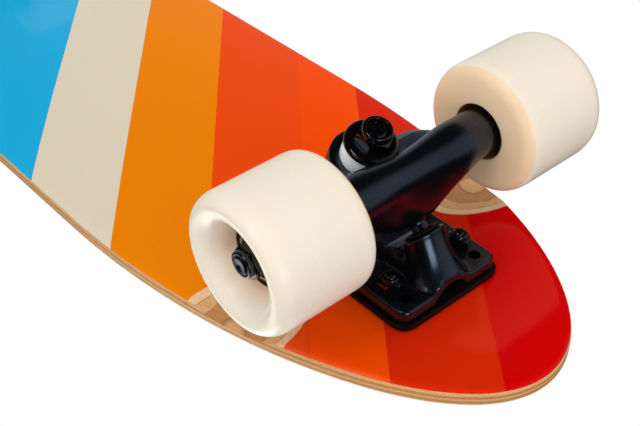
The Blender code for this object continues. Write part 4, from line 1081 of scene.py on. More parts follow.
def make_deck():
    """The deck and its grip tape."""
    deck = bpy.context.scene.deck_sizes
    thick = deck.ply * deck.ply_count
    place = truck_place("front") @ Matrix.Translation((0, 0, deck_low()))
    inset = 0.0002
    board = slab(0.0, thick, inset, deck.edge_round, head_cutters(FIT_GAP))
    put("deck_board", board, ["deck"], "board", ["deck"], place)
    low = thick + SEAT_GAP
    grip = slab(low, low + deck.grip, deck.grip_inset, 0.0, head_cutters(FIT_GAP))
    put("grip_sheet", grip, ["grip"], "board", ["grip_tape"], place)


# Fasteners

def lock_nut(across, bore, hex_height, collar, wall, flange=0.0):
    """A lock nut along Z: flange, chamfered hexagon and rolled collar, with its bore."""
    top = flange + hex_height
    end = top + collar
    corner = across / math.sqrt(3)
    slope, edge = corner - across / 2, 0.0002
    past, below = corner + edge, flange - edge / 2
    trim = rounded([(0, below), (past, below), (past, top - slope * 0.9, edge),
                    (across / 2 - edge / 2, top, edge), (0, top)])
    body = worked(prism(across, flange, top), "INTERSECT", [turned(trim)])
    root, nylon = top - 0.0005, end - wall * 0.3
    extra = [turned(rounded([(0, root), (bore + wall, root),
                             (bore + wall, end, collar * 0.7, wall * 0.75),
                             (bore + wall * 0.1, end, wall * 0.1), (bore, nylon), (0, nylon)]),
                    64)]
    if flange:
        extra.append(turned(rounded([(0, 0), (corner, 0, edge), (corner, flange, 0.0003),
                                     (across / 2, flange + edge), (0, flange + edge)]), 64))
    body = worked(body, "UNION", extra)
    return worked(body, "DIFFERENCE", [rod(bore, -OVERCUT, end + OVERCUT)])


def threaded(radius, low, high, pitch, depth):
    """Outline of a shank's threaded end, as fine grooves, from one height to another."""
    count = max(int(abs(high - low) / pitch), 1)
    step = (high - low) / count
    points = []
    for i in range(count):
        points.append((radius, low + i * step))
        points.append((radius - depth, low + (i + 0.5) * step))
    return points + [(radius, high)]


def make_bolts():
    """Countersunk bolts down through the deck, with their locknuts."""
    truck, deck = bpy.context.scene.truck_sizes, bpy.context.scene.deck_sizes
    top = deck_low() + deck.ply * deck.ply_count + SEAT_GAP + deck.grip
    end = -(truck.locknut_hex + truck.locknut_collar + SEAT_GAP + truck.bolt_end)
    rim, chamfer = 0.0003, 0.0005
    shank = threaded(truck.bolt_radius, 0.0, end + chamfer, *BOLT_THREAD)
    outline = [(0, top), (truck.bolt_head, top), (truck.bolt_head, top - rim),
               (truck.bolt_radius, top - truck.head_depth)] + shank
    outline += [(truck.bolt_radius - chamfer, end), (0, end)]
    socket = prism(truck.key, top - truck.key_depth, top + OVERCUT)
    bolt = worked(turned(outline, 48), "DIFFERENCE", [socket])
    nut = lock_nut(truck.locknut, truck.bolt_radius + FIT_GAP, truck.locknut_hex,
                   truck.locknut_collar, truck.locknut_wall)
    flip = Matrix.Translation((0, 0, -SEAT_GAP)) @ Matrix.Rotation(math.pi, 4, "X")
    for end_name in ENDS:
        for row, y, spot in bolt_places():
            side = "left" if y == side_of(end_name, "left") else "right"
            name = f"{end_name}_{row}_{side}"
            place = truck_place(end_name) @ Matrix.Translation(spot)
            put(name + "_deck_bolt", bolt, ["black"], "board",
                [name + "_bolt"], place)
            put(name + "_nyloc", nut, ["black"], "board",
                [name + "_locknut"], place @ flip)


# Baseplate

def plate_outline(length_, width, corner, height, steps=6):
    """A rectangle with round corners at one height."""
    corners = [(x * length_ / 2, y * width / 2, corner)
               for x, y in ((1, 1), (-1, 1), (-1, -1), (1, -1))]
    return [Vector((p.x, p.y, height)) for p in rounded(corners, True, steps)]


def post(foot_x, foot_length, foot_width, place, radius, height):
    """An oval foot on the plate, drawn up into a rim that lies square to a slanted place."""
    truck = bpy.context.scene.truck_sizes
    steps, count = 12, 64
    rings = []
    for i in range(steps + 1):
        part = i / steps
        flare = truck.post_flare * (1 - part) ** FLARE_POWER
        ring = []
        for k in range(count):
            turn = 2 * math.pi * k / count
            ahead, across = math.cos(turn), math.sin(turn)
            foot = Vector((foot_x + foot_length / 2 * ahead, foot_width / 2 * across,
                           truck.plate / 3))
            rim = place @ Vector((-radius * ahead, radius * across, height))
            point = foot.lerp(rim, part)
            point.x = min(point.x + flare * ahead, truck.plate_length / 2 - SEAT_GAP)
            point.y += flare * across
            ring.append(point)
        rings.append(ring)
    return skinned(rings)


def hood():
    """The rounded brow over the arch, from the plate's front edge into the tower."""
    truck = bpy.context.scene.truck_sizes
    steps, edge = 24, truck.plate_round
    sink = edge / 3
    front = truck.plate_length / 2 - sink
    rings = []
    for x, drop in ((front - truck.hood_depth, 0.0), (front - edge, 0.0), (front, sink)):
        ring = []
        for i in range(steps + 1):
            across = truck.hood_width / 2 * (2 * i / steps - 1)
            brow = math.cos(math.pi * across / truck.hood_width) ** 2
            ring.append(Vector((x, across, drop + sink - (truck.hood_height + sink) * brow)))
        ring += [Vector((x, y * truck.hood_width / 2, truck.plate / 2)) for y in (1, -1)]
        rings.append(ring)
    return skinned(rings)


def saddle():
    """The curved ramp from the spine up to the back of the pivot tower's rim."""
    truck = bpy.context.scene.truck_sizes
    rim = pivot_place() @ Vector((truck.tower_rim, 0, truck.cup_mouth))
    steps, soft = 12, truck.spine_height / 5
    low, high = soft - truck.spine_height, rim.z + truck.saddle_sink
    places = [(truck.saddle_start + (rim.x - truck.saddle_start) * i / steps,
               low + (high - low) * (i / steps) ** 2) for i in range(steps + 1)]
    places.append((rim.x + truck.saddle_reach, high))
    half, rings = truck.saddle_width / 2, []
    for x, top in places:
        side = [(half + truck.spine_slope, truck.plate / 3), (half, top + soft),
                (half - soft, top)]
        side += [(-y, z) for y, z in reversed(side)]
        rings.append([Vector((x, y, z)) for y, z in side])
    return skinned(rings)


def cup_outline(gap):
    """Outer side of the pivot cup, from its floor to its rim."""
    truck = bpy.context.scene.truck_sizes
    radius = truck.ball + FIT_GAP + truck.cup_wall + gap
    floor = truck.cup_floor + gap / 2
    return [(0, -radius), (floor, -radius), (radius, 0), (radius, truck.cup_mouth)]


def bolt_holes(low, high):
    """Cutters for the bolt holes of a plate, with the spare outer pair."""
    truck = bpy.context.scene.truck_sizes
    spots = [spot for _, _, spot in bolt_places()]
    spare = truck.bolt_spacing_x / 2 + truck.spare_step
    spots += [Vector((spare, y * truck.bolt_spacing_y / 2, 0)) for y in (1, -1)]
    return [moved(rod(truck.bolt_hole, low - OVERCUT, high + OVERCUT, 32),
                  Matrix.Translation(spot)) for spot in spots]


def plate_solids():
    """The bevelled plate, and the spine, boss, saddle, tower and hood that stand on it."""
    truck = bpy.context.scene.truck_sizes
    edge = truck.plate_round
    bevel = [(edge * (1 - c), edge * (1 - s)) for s, c in quarter(5)]
    plate = skinned([plate_outline(truck.plate_length - 2 * inset, truck.plate_width - 2 * inset,
                                   truck.plate_corner - inset * 0.7, z)
                     for inset, z in [(0, truck.plate)] + bevel])
    spine = skinned([plate_outline(truck.spine_length + 2 * grow, truck.spine_width + 2 * grow,
                                   SPINE_CORNER + grow, z)
                     for grow, z in ((truck.spine_slope, truck.plate / 3),
                                     (0.0, SPINE_EDGE - truck.spine_height),
                                     (-SPINE_EDGE, -truck.spine_height))])
    boss = post(-truck.setback, 2 * truck.boss_foot, 2 * truck.boss_foot, kingpin_place(),
                truck.boss, truck.boss_height)
    tower = post(truck.tower_x, truck.tower_length, truck.tower_width, pivot_place(),
                 truck.tower_rim, truck.cup_mouth)
    return plate, [spine, boss, saddle(), tower, hood()]


def arch_cutter():
    """Cutter for the arch below the tower."""
    truck = bpy.context.scene.truck_sizes
    ring = [(c, s) for s, c in quarter(24, 2.0)] + [(-1, -1), (1, -1)]
    return skinned([[Vector((x, truck.arch_width / 2 * a, truck.plate - truck.arch_height * b))
                     for a, b in ring]
                    for x in (truck.plate_length / 2 - truck.arch_depth,
                              truck.plate_length / 2 + truck.arch_depth)])


def plate_bores():
    """Cutters for the cup's bore, the kingpin's bore and the recess of its head."""
    truck = bpy.context.scene.truck_sizes
    kingpin, outline = kingpin_place(), cup_outline(FIT_GAP)
    over, reach = 3 * truck.cup_mouth, 0.03
    cup_bore = turned(outline[:-1] + [(outline[-1][0], over), (0, over)], 64)
    bore = rod(truck.kingpin + FIT_GAP, -reach, reach)
    recess = rod(truck.kingpin_head / math.sqrt(3) + 2 * FIT_GAP, -reach,
                 truck.kingpin_sink + SEAT_GAP)
    return [moved(cup_bore, pivot_place()), moved(bore, kingpin), moved(recess, kingpin)]


def baseplate_shape():
    """The cast plate with spine, boss, tower, hood, arch and bores, in the truck frame."""
    truck = bpy.context.scene.truck_sizes
    plate, solids = plate_solids()
    shape = worked(plate, "UNION", solids)
    shape = cast(worked(shape, "DIFFERENCE", [arch_cutter()]), PLATE_GRAIN)
    # Fillets round tower, saddle and hood, without the tower's rim
    fillet_low = (0.001, -0.0175, -0.04)
    fillet_high = (truck.plate_length / 2 - 0.002, 0.0175, 0.0012)
    to_rim, rim = pivot_place().inverted(), truck.cup_mouth - 0.0012
    softened(shape, Matrix.Identity(4), fillet_low, fillet_high,
             lambda spot: (to_rim @ spot).z > rim)
    return worked(shape, "DIFFERENCE", plate_bores() + bolt_holes(0, truck.plate))


def make_baseplates():
    """Both cast baseplates."""
    put_on_trucks("cast_plate", baseplate_shape(), "coat", "board", "baseplate")


def make_risers():
    """Rubber riser pads between deck and baseplates."""
    truck = bpy.context.scene.truck_sizes
    low = truck.plate + SEAT_GAP
    high = low + truck.riser
    margin = 2 * truck.riser_margin
    edge = 0.0004
    shape = skinned([plate_outline(truck.plate_length + margin - 2 * inset,
                                   truck.plate_width + margin - 2 * inset,
                                   truck.plate_corner + truck.riser_margin, z)
                     for inset, z in ((edge, low), (0, low + edge), (0, high - edge),
                                      (edge, high))])
    shape = worked(shape, "DIFFERENCE", bolt_holes(low, high))
    put_on_trucks("riser", shape, "rubber", "board", "riser_pad")


def make_pivot_cups():
    """Soft cups in the towers, which hold the pivot balls."""
    truck = bpy.context.scene.truck_sizes
    inner = truck.ball + FIT_GAP
    lip_low = truck.cup_mouth + SEAT_GAP
    lip_high = lip_low + truck.cup_lip_height
    seat = [(inner * s, -inner * c) for s, c in quarter(8)]
    outer = cup_outline(0.0)
    rim = rounded([(inner, 0), (inner + truck.cup_wall / 2, lip_high, 0.0004),
                   (truck.cup_lip, lip_high, 0.0004), (truck.cup_lip, lip_low, 0.0003),
                   (outer[-1][0], lip_low)])
    shape = turned(seat + rim[1:] + outer[-2::-1], 64)
    put_on_trucks("cup", shape, "rubber", "board", "pivot_cup", pivot_place())


# Kingpin stack

def stack_heights():
    """Heights along the kingpin of washers, bushings and nut."""
    truck = bpy.context.scene.truck_sizes
    low_washer = truck.boss_height + SEAT_GAP
    low_bushing = low_washer + truck.washer_plate + SEAT_GAP
    low_seat = truck.ring_centre - truck.ring / 2 + truck.seat_depth - SEAT_GAP
    top_seat = truck.ring_centre + truck.ring / 2 - truck.seat_depth + SEAT_GAP
    top_washer = top_seat + truck.bushing_height + SEAT_GAP
    nut = top_washer + truck.washer_plate + SEAT_GAP
    return low_washer, low_bushing, low_seat, top_seat, top_washer, nut


def stood(outline, start, upwards):
    """Turn an outline whose heights run up or down from a start."""
    sign = 1 if upwards else -1
    return turned([(p.x, start + sign * p.y) for p in outline])


def cup_washer(low, upwards):
    """A domed cup washer whose rim turns over the end of a bushing."""
    truck = bpy.context.scene.truck_sizes
    hole, rim = truck.kingpin + FIT_GAP, truck.washer
    thick, inner = truck.washer_plate, truck.bushing_neck + FIT_GAP
    skirt = thick + truck.washer_cup
    outline = rounded([(hole, 0, 0.0003), (rim - 0.0012, 0, 0.0044, 0.0010), (rim, thick, 0.0008),
                       (rim, skirt, 0.0003), (inner, skirt, 0.0003), (inner, thick, 0.0005),
                       (hole, thick, 0.0003)], True)
    return stood(outline, low if upwards else low + thick, upwards)


def bushing(low, high, washer_below):
    """A soft bushing that swells between its washer and its seat."""
    truck = bpy.context.scene.truck_sizes
    hole, wide, neck = truck.kingpin + FIT_GAP, truck.bushing, truck.bushing_neck
    cup, height = truck.washer_cup, high - low
    side = [(neck, 0, 0.0004), (neck, cup, 0.0008), (wide, height * 0.5, 0.003),
            (wide, height * 0.75), (wide, height, 0.0004)]
    outline = rounded([(hole, 0)] + side + [(hole, height)], False, 8)
    return stood(outline, low if washer_below else high, washer_below)


def kingpin_shape(nut_low):
    """A kingpin: hexagon head, plain shank, and a thread from the nut to its end."""
    truck = bpy.context.scene.truck_sizes
    head_low = truck.kingpin_sink - truck.kingpin_height
    shank = [(0, head_low / 2), (truck.kingpin, head_low / 2)]
    shank += threaded(truck.kingpin, nut_low, truck.kingpin_end - 0.0009, *KINGPIN_THREAD)
    shank += rounded([(truck.kingpin - 0.0003, truck.kingpin_end - 0.0008),
                      (truck.kingpin - 0.0010, truck.kingpin_end, 0.0005, 0.0030),
                      (0, truck.kingpin_end)])
    return worked(prism(truck.kingpin_head, head_low, truck.kingpin_sink), "UNION",
                  [turned(shank, 64)])


def make_kingpins():
    """Kingpins with their nuts, cup washers and bushings."""
    truck = bpy.context.scene.truck_sizes
    low_washer, low_bushing, low_seat, top_seat, top_washer, nut_low = stack_heights()
    nut = lock_nut(truck.kingpin_head, truck.kingpin + FIT_GAP, truck.nut_hex,
                   truck.nut_collar, truck.nut_wall)
    moved(nut, Matrix.Translation((0, 0, nut_low)))
    plain = (("steering_bolt", kingpin_shape(nut_low), "kingpin"),
             ("steering_nut", nut, "kingpin_nut"),
             ("deck_side_washer", cup_washer(low_washer, True), "lower_washer"),
             ("road_side_washer", cup_washer(top_washer, False), "upper_washer"))
    soft = (("deck_side_bushing", bushing(low_bushing, low_seat, True), "lower_bushing",
             low_bushing, low_seat),
            ("road_side_bushing", bushing(top_seat, top_seat + truck.bushing_height, False),
             "upper_bushing", top_seat + truck.bushing_height, top_seat))
    for end in ENDS:
        place = truck_place(end) @ kingpin_place()
        for name, shape, replaced in plain:
            put(f"{end}_{name}", shape, ["black"], "board",
                [f"{end}_{replaced}"], place)
        for name, shape, replaced, fixed, moving in soft:
            piece = put(f"{end}_{name}", shape, ["bushing"], None,
                        [f"{end}_{replaced}"], place)
            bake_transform(piece)


# Hanger

def tube_radius(across):
    """Radius of the cast tube, which narrows at its middle."""
    truck = bpy.context.scene.truck_sizes
    part = min(abs(across) / truck.waist_reach, 1.0)
    return truck.tube - (truck.tube - truck.waist) * (1 - part ** 2) ** 2


def direction(degrees):
    """A unit vector at an angle in a section's plane."""
    turn = math.radians(degrees)
    return Vector((math.cos(turn), math.sin(turn)))


def in_ring(point):
    """A point of the truck frame as x and z of the ring's frame."""
    local = ring_place().inverted() @ point
    return Vector((local.x, local.z))


def hanger_section(across, centre, bulge_centre, wing_end):
    """Outline of the cast body at a distance from its middle: tube, wing and web."""
    truck = bpy.context.scene.truck_sizes
    span = (abs(across) - truck.ring_radius) / (wing_end - truck.ring_radius)
    span = min(max(span, 0.0), 1.0)
    wing = 1 - span ** truck.wing_power
    web = min((wing_end - abs(across)) / (wing_end - truck.web_flat), 1.0)
    shoulder = min(wing, truck.web_least + (1 - truck.web_least) * web)
    half = truck.wing / 2
    root = tube_radius(across) - TUBE_ROOT
    # Angle round the tube, share of the way out and outermost spot of each point
    fins = ((20, web, bulge_centre + truck.bulge * direction(-22)),
            (45, web, bulge_centre + truck.bulge * direction(30)),
            (70, web, bulge_centre + truck.bulge * direction(90)),
            (88, shoulder, Vector((truck.ring_radius, half))),
            (102, wing, Vector((0.0, half))),
            (112, wing, Vector((-half, 0.0))),
            (120, wing, Vector((0.0, -half))))
    points = []
    for degrees, weight, target in fins:
        base = centre + root * direction(degrees)
        points.append(base + max(weight, 0.0) * (target - base))
    edge_at, back_at, skin_from = fins[-1][0], 176, 300
    edge, back = points[-1], centre + root * direction(back_at)
    for degrees in range(128, 345, 12):
        reach = root + WEB_SKIN if degrees > skin_from else root
        point = centre + reach * direction(degrees)
        if degrees < back_at:
            part = (degrees - edge_at) / (back_at - edge_at)
            point = point.lerp(edge.lerp(back, part), span)
        points.append(point)
    return [Vector((p.x, across, p.y)) for p in points]


def hanger_tube():
    """The cast tube along its axle, with a waist and chamfered ends."""
    truck = bpy.context.scene.truck_sizes
    end = truck.hanger_length / 2
    half = [(0, end)] + [(tube_radius(end) - cut, end - drop)
                         for cut, drop in ((0.0012, 0), (0.0004, 0.0003), (0, 0.0012))]
    half += [(tube_radius(y), y) for y in
             [truck.waist_reach * (1 - i / 12) for i in range(13)]]
    return turned(half + mirrored(half[:-1]))


def pivot_pin():
    """The pivot's ball, neck and bulge, in the pivot's frame."""
    truck = bpy.context.scene.truck_sizes
    back = truck.neck_length + truck.bulge
    pin = [(truck.ball * s, -truck.ball * c) for s, c in quarter(24, 2.0)[:17]]
    pin += [(truck.neck, truck.neck_length)]
    pin += [(truck.bulge * s, back - truck.bulge * c) for s, c in quarter(12, 2.0)[3:]]
    pin[0], pin[-1] = (0, pin[0][1]), (0, pin[-1][1])
    return turned(pin, 64)


def speed_washers(to_axle):
    """The thin washers on both ends of the tube, sunk into it a little."""
    truck = bpy.context.scene.truck_sizes
    sink = 0.0002
    washer = rounded([(0, 0), (truck.speed_ring, 0),
                      (truck.speed_ring, truck.speed_ring_height, sink),
                      (0, truck.speed_ring_height)])
    at_end = Matrix.Translation((0, 0, truck.hanger_length / 2 - sink))
    return [moved(turned(washer, 64), to_axle @ Matrix.Rotation(turn, 4, "X") @ at_end)
            for turn in (0.0, math.pi)]


def hanger_shape():
    """The cast hanger in the ring's frame: tube, wings, ring, web and pivot pin."""
    truck = bpy.context.scene.truck_sizes
    to_ring = ring_place().inverted()
    to_axle, to_pivot = to_ring @ axle_place(), to_ring @ pivot_place()
    centre = in_ring(Vector((truck.axle_x, 0, -truck.axle_drop)))
    bulge_centre = in_ring(pivot_place() @ Vector((0, 0, truck.neck_length + truck.bulge)))
    wing_end = stations()[2] - truck.wing_gap
    rows = 64
    body = skinned([hanger_section(wing_end * (2 * i / rows - 1), centre, bulge_centre, wing_end)
                    for i in range(rows + 1)])
    half, soft = truck.ring / 2, 0.0015
    ring = turned(rounded([(0, -half), (truck.ring_radius, -half, soft),
                           (truck.ring_radius, half, soft), (0, half)]))
    shape = worked(body, "UNION", [moved(hanger_tube(), to_axle), ring,
                                   moved(pivot_pin(), to_pivot)])
    below, reach, seat = -0.08, truck.ring_centre, truck.bushing + FIT_GAP
    clear = rod(truck.washer + truck.nut_clearance, below, -half - SEAT_GAP, 96)
    shape = cast(worked(shape, "DIFFERENCE", [clear]), HANGER_GRAIN)
    shape = softened(shape, to_ring, *WEB_FILLET)
    shape = worked(shape, "UNION", speed_washers(to_axle))
    return worked(shape, "DIFFERENCE", [
        rod(truck.ring_hole, -reach, reach), rod(seat, -reach, truck.seat_depth - half),
        rod(seat, half - truck.seat_depth, reach),
        moved(rod(truck.axle + FIT_GAP, -truck.hanger_length, truck.hanger_length), to_axle)])


def make_hangers():
    """Both cast hangers."""
    put_on_trucks("cast_hanger", hanger_shape(), "coat", "axle_body", "hanger",
                  ring_place())


# Wheels

def stations():
    """Distances along the axle of bearings, wheel and nut, from the truck's middle."""
    truck, wheel = bpy.context.scene.truck_sizes, bpy.context.scene.wheel_sizes
    inner = truck.hanger_length / 2 + truck.speed_ring_height + SEAT_GAP
    outer = inner + wheel.bearing_width + wheel.spacer + 2 * SEAT_GAP
    low = inner - wheel.counterbore_depth
    nut = outer + wheel.bearing_width + SEAT_GAP
    return inner, outer, low, nut


def end_places():
    """Each end of each axle: its end of the board, its side and its frame along the axle."""
    places = []
    for end in ENDS:
        for side in SIDES:
            turn = math.pi if side_of(end, side) > 0 else 0.0
            place = truck_place(end) @ axle_place() @ Matrix.Rotation(turn, 4, "X")
            places.append((end, side, place))
    return places


def wheel_faces():
    """Places along the axle of a wheel's inner face, its funnel's floor and its crest."""
    wheel = bpy.context.scene.wheel_sizes
    _, outer, low, _ = stations()
    return low, outer + wheel.bearing_width, low + wheel.width - wheel.crest_sink


def wheel_outline():
    """Half section of a wheel: tread, lip, funnel, bearing seats and counterbore."""
    wheel = bpy.context.scene.wheel_sizes
    inner, outer, _, _ = stations()
    low, floor, face = wheel_faces()
    crest, seat, edge = wheel.crest, wheel.bearing + FIT_GAP, 0.0008
    inner_seat, outer_seat = inner + wheel.bearing_width + SEAT_GAP, outer - SEAT_GAP
    lip = [(wheel.radius - (wheel.radius - crest) * (1 - c), face - wheel.lip_length * (1 - s))
           for s, c in quarter(16)]
    roll = [(crest - wheel.roll * s, face - wheel.roll_depth * (1 - c))
            for s, c in quarter(16, 2 / 3)]
    outline = rounded([(wheel.counterbore, low, edge), (wheel.radius, low, wheel.inner_lip),
                       lip[0]], False, 10)
    outline[0:1] = rounded([(wheel.counterbore, inner), (wheel.counterbore, low, edge),
                            outline[1]])
    outline += lip[1:] + roll[1:]
    return outline + [(wheel.funnel_floor, floor), (seat, floor), (seat, outer_seat),
                      (wheel.core_bore, outer_seat), (wheel.core_bore, inner_seat),
                      (seat, inner_seat), (seat, inner)]


def make_wheels():
    """Four urethane wheels, each with a dark seat ring round its outer bearing and painted warm
    shade.
    """
    wheel = bpy.context.scene.wheel_sizes
    low, floor, face = wheel_faces()
    inner_face = low + 0.004
    shape = turned(wheel_outline(), 144)
    # Painted warm shade: deepening down the funnel to the bearing, even over the inner face
    warm = shape.verts.layers.float.new("warm")
    for vert in shape.verts:
        far, up = vert.co.xy.length, vert.co.z
        if far < wheel.crest and up > floor:
            vert[warm] = PAINTED_SHADE_STRENGTH * max(1 - (up - floor) / (face - floor), 0) ** 2
        elif up < inner_face and far < wheel.radius - 0.001:
            vert[warm] = PAINTED_SHADE_STRENGTH

    def finish_at(point):
        """Cream outside, dark on the outer bearing's seat, amber as a painted glow in the
        counterbore.
        """
        far = math.hypot(point.x, point.y)
        if far < wheel.funnel_floor - SEAT_GAP and abs(point.z - floor) < SEAT_GAP:
            return 1
        return 2 if far < wheel.counterbore + SEAT_GAP and point.z < floor - SEAT_GAP else 0

    for end, side, place in end_places():
        put(f"{end}_{side}_cream_wheel", shape, ["urethane", "seat", "core"],
            f"{end}_{side}_wheel_body", [f"{end}_{side}_wheel"], place, finish_at)


def make_bearings():
    """Bearings with sealed shields, and the spacers between them."""
    truck, wheel = bpy.context.scene.truck_sizes, bpy.context.scene.wheel_sizes
    inner, outer, _, _ = stations()
    width, ring, sink = wheel.bearing_width, wheel.bearing_ring, wheel.shield_sink
    bore, rim = truck.axle + FIT_GAP, wheel.bearing
    edge, step = 0.0003, 0.0002
    low, high = width - sink, width - sink / 2
    outside, inside = rim - ring, bore + ring
    face = [(rim, width, edge), (outside, width, edge / 2), (outside, low),
            (outside - 2 * step, low, step / 2), (outside - 3 * step, high, step),
            (inside + 2 * step, high, step), (inside + step, low), (inside, low),
            (inside, width, edge / 2), (bore, width, edge)]
    back = [(radius, width - height, cut[0] if cut else 0.0)
            for radius, height, *cut in reversed(face)]
    shape = turned(rounded(back + face, True, 3), 96)

    def finish_at(point):
        """Shield, bright ring or painted shade of gap and outer edge, by the distance from the
        axle.
        """
        far = math.hypot(point.x, point.y)
        if outside < far < rim - 2 * step or far < inside:
            return 1
        return 2 if far > outside - 2.5 * step else 0

    for end, side, place in end_places():
        for name, along in (("inner", inner), ("outer", outer)):
            put(f"{end}_{side}_{name}_sealed_bearing", shape, ["shield", "steel", "seat"],
                f"{end}_{side}_wheel_body", [f"{end}_{side}_{name}_bearing"],
                place @ Matrix.Translation((0, 0, along)), finish_at)
        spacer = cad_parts[f"{end}_{side}_bearing_spacer"]
        spacer.data.materials.clear()
        spacer.data.materials.append(all_finishes()["steel"])


def make_axles():
    """Axles with threaded ends, and their flanged lock nuts."""
    truck, wheel = bpy.context.scene.truck_sizes, bpy.context.scene.wheel_sizes
    nut_low = stations()[3]
    nut_length = wheel.nut_flange + wheel.nut_hex + wheel.nut_collar
    half = nut_low + nut_length + wheel.axle_end
    drill, drill_depth, chamfer, run_out = 0.0011, 0.0007, 0.0006, 0.002
    end_outline = [(0, half - drill_depth), (drill, half), (truck.axle - chamfer, half)]
    end_outline += threaded(truck.axle, half - chamfer, nut_low - run_out, *AXLE_THREAD)
    shape = turned(end_outline + mirrored(end_outline), 64)
    nut = lock_nut(wheel.nut, truck.axle + FIT_GAP, wheel.nut_hex, wheel.nut_collar,
                   wheel.nut_wall, wheel.nut_flange)
    put_on_trucks("axle_rod", shape, "axle", "axle_body", "axle", axle_place())
    for end, side, place in end_places():
        put(f"{end}_{side}_wheel_nut", nut, ["black"], end + "_axle_body",
            [f"{end}_{side}_axle_nut"], place @ Matrix.Translation((0, 0, nut_low)))


# Studio

def stand(obj, matrix):
    """Add a lamp or a camera to the scene at its place."""
    obj.matrix_world = matrix
    bpy.context.scene.collection.objects.link(obj)
    return obj


def make_lamps():
    """White area lamps, each turned to a spot on the board."""
    for name, (place, aim, sizes) in LAMPS.items():
        data = bpy.data.lights.new(name, "AREA")
        data.shape = "RECTANGLE"
        data.size, data.size_y = sizes
        data.energy = getattr(bpy.context.scene.studio, name)
        turn = (Vector(aim) - Vector(place)).to_track_quat("-Z", "Y")
        stand(bpy.data.objects.new(name, data),
              Matrix.Translation(place) @ turn.to_matrix().to_4x4())


def stage_piece(name, bm, item, unseen_by):
    """Add a piece of the set, which some kinds of rays pass by."""
    piece = loose(bm, name)
    piece.data.materials.append(item)
    for ray in unseen_by:
        setattr(piece, "visible_" + ray, False)


def make_floor():
    """A pale floor that is clear from below, lets the lower lamps through and fades far out."""
    bm = bmesh.new()
    bmesh.ops.create_grid(bm, x_segments=1, y_segments=1, size=FLOOR_SIZE)
    item, tree, shader = material("pale_floor", Roughness=0.9)
    place = node(tree, "TexCoord").outputs["Object"]
    feed(tree, shader.inputs["Base Color"],
         mixed(tree, noise(tree, place, 0.4), (0.90, 0.90, 0.90), (0.94, 0.94, 0.94)))
    clear = node(tree, "BsdfTransparent")
    below = node(tree, "NewGeometry").outputs["Backfacing"]
    far = node(tree, "VectorMath", {"Vector": place}, operation="LENGTH").outputs["Value"]
    faded = spread(tree, far, *FLOOR_FADE)
    choice = node(tree, "MixShader", {"Fac": maths(tree, "MAXIMUM", below, faded)})
    tree.links.new(shader.outputs[0], choice.inputs[1])
    tree.links.new(clear.outputs[0], choice.inputs[2])
    tree.links.new(choice.outputs[0], tree.nodes["Material Output"].inputs["Surface"])
    stage_piece("studio_floor", bm, item, ("shadow", "diffuse", "glossy"))


def make_screen():
    """The dark studio round the set with its two dim walls, which only reflections see."""
    studio = bpy.context.scene.studio
    bm = bmesh.new()
    bmesh.ops.create_uvsphere(bm, u_segments=64, v_segments=48, radius=studio.screen_reach)
    high = [vert for vert in bm.verts if vert.co.z > studio.screen_rise]
    bmesh.ops.delete(bm, geom=high, context="VERTS")
    item, tree, shader = material("dark_screen", Roughness=1.0, Specular_IOR_Level=0.0,
                                  Base_Color=(0.004, 0.004, 0.004, 1.0),
                                  Emission_Color=(0.92, 0.95, 1.0, 1.0))
    toward = node(tree, "VectorMath", {"Vector": node(tree, "TexCoord").outputs["Object"]},
                  operation="NORMALIZE").outputs["Vector"]
    lit = [spread(tree, node(tree, "VectorMath", {0: toward, 1: wall},
                             operation="DOT_PRODUCT").outputs["Value"], *WALL_EDGES)
           for wall in WALLS]
    feed(tree, shader.inputs["Emission Strength"],
         maths(tree, "MULTIPLY", maths(tree, "MAXIMUM", *lit), studio.wall_light))
    stage_piece("studio_screen", bm, item, ("camera", "diffuse", "shadow", "transmission"))


def make_world():
    """Soft room light, with a white background for the camera and for reflections."""
    studio = bpy.context.scene.studio
    world = bpy.data.worlds.new("studio_world")
    bpy.context.scene.world = world
    world.use_nodes = True
    tree = world.node_tree
    background = tree.nodes["Background"]
    rays = node(tree, "LightPath")
    seen = maths(tree, "MAXIMUM", rays.outputs["Is Camera Ray"],
                 maths(tree, "MAXIMUM", rays.outputs["Is Glossy Ray"],
                       rays.outputs["Is Transmission Ray"]))
    toward = node(tree, "SeparateXYZ", {"Vector": node(tree, "TexCoord").outputs["Generated"]})
    room = spread(tree, toward.outputs["Z"], *ROOM_EDGES, studio.room_below,
                  studio.room_above)
    strength = node(tree, "Mix", {"Factor": seen, "A": room, "B": 1.0})
    feed(tree, background.inputs["Color"], (1.0, 1.0, 1.0))
    feed(tree, background.inputs["Strength"], strength.outputs[0])


def make_studio():
    """Floor, world, lamps and the camera."""
    scene, studio = bpy.context.scene, bpy.context.scene.studio
    make_floor()
    make_screen()
    make_world()
    make_lamps()
    data = bpy.data.cameras.new("camera")
    data.sensor_width = 36
    data.lens = studio.lens
    data.clip_start = 0.01
    turn = Euler(studio.camera_turn).to_matrix().to_4x4()
    scene.camera = stand(bpy.data.objects.new("camera", data),
                         Matrix.Translation(studio.camera_place) @ turn)
    scene.view_settings.view_transform = "Standard"


# Operators

class SKATE_OT_deck(Operator):
    """Make the deck and its grip tape"""
    bl_idname = "skate.deck"
    bl_label = "Deck and Grip"

    def execute(self, context):
        make_deck()
        return {"FINISHED"}


class SKATE_OT_bolts(Operator):
    """Make the deck bolts and their locknuts"""
    bl_idname = "skate.bolts"
    bl_label = "Deck Bolts"

    def execute(self, context):
        make_bolts()
        return {"FINISHED"}


class SKATE_OT_risers(Operator):
    """Make the rubber riser pads"""
    bl_idname = "skate.risers"
    bl_label = "Riser Pads"

    def execute(self, context):
        make_risers()
        return {"FINISHED"}


class SKATE_OT_baseplates(Operator):
    """Make the cast baseplates"""
    bl_idname = "skate.baseplates"
    bl_label = "Baseplates"

    def execute(self, context):
        make_baseplates()
        return {"FINISHED"}


class SKATE_OT_pivot_cups(Operator):
    """Make the pivot cups"""
    bl_idname = "skate.pivot_cups"
    bl_label = "Pivot Cups"

    def execute(self, context):
        make_pivot_cups()
        return {"FINISHED"}


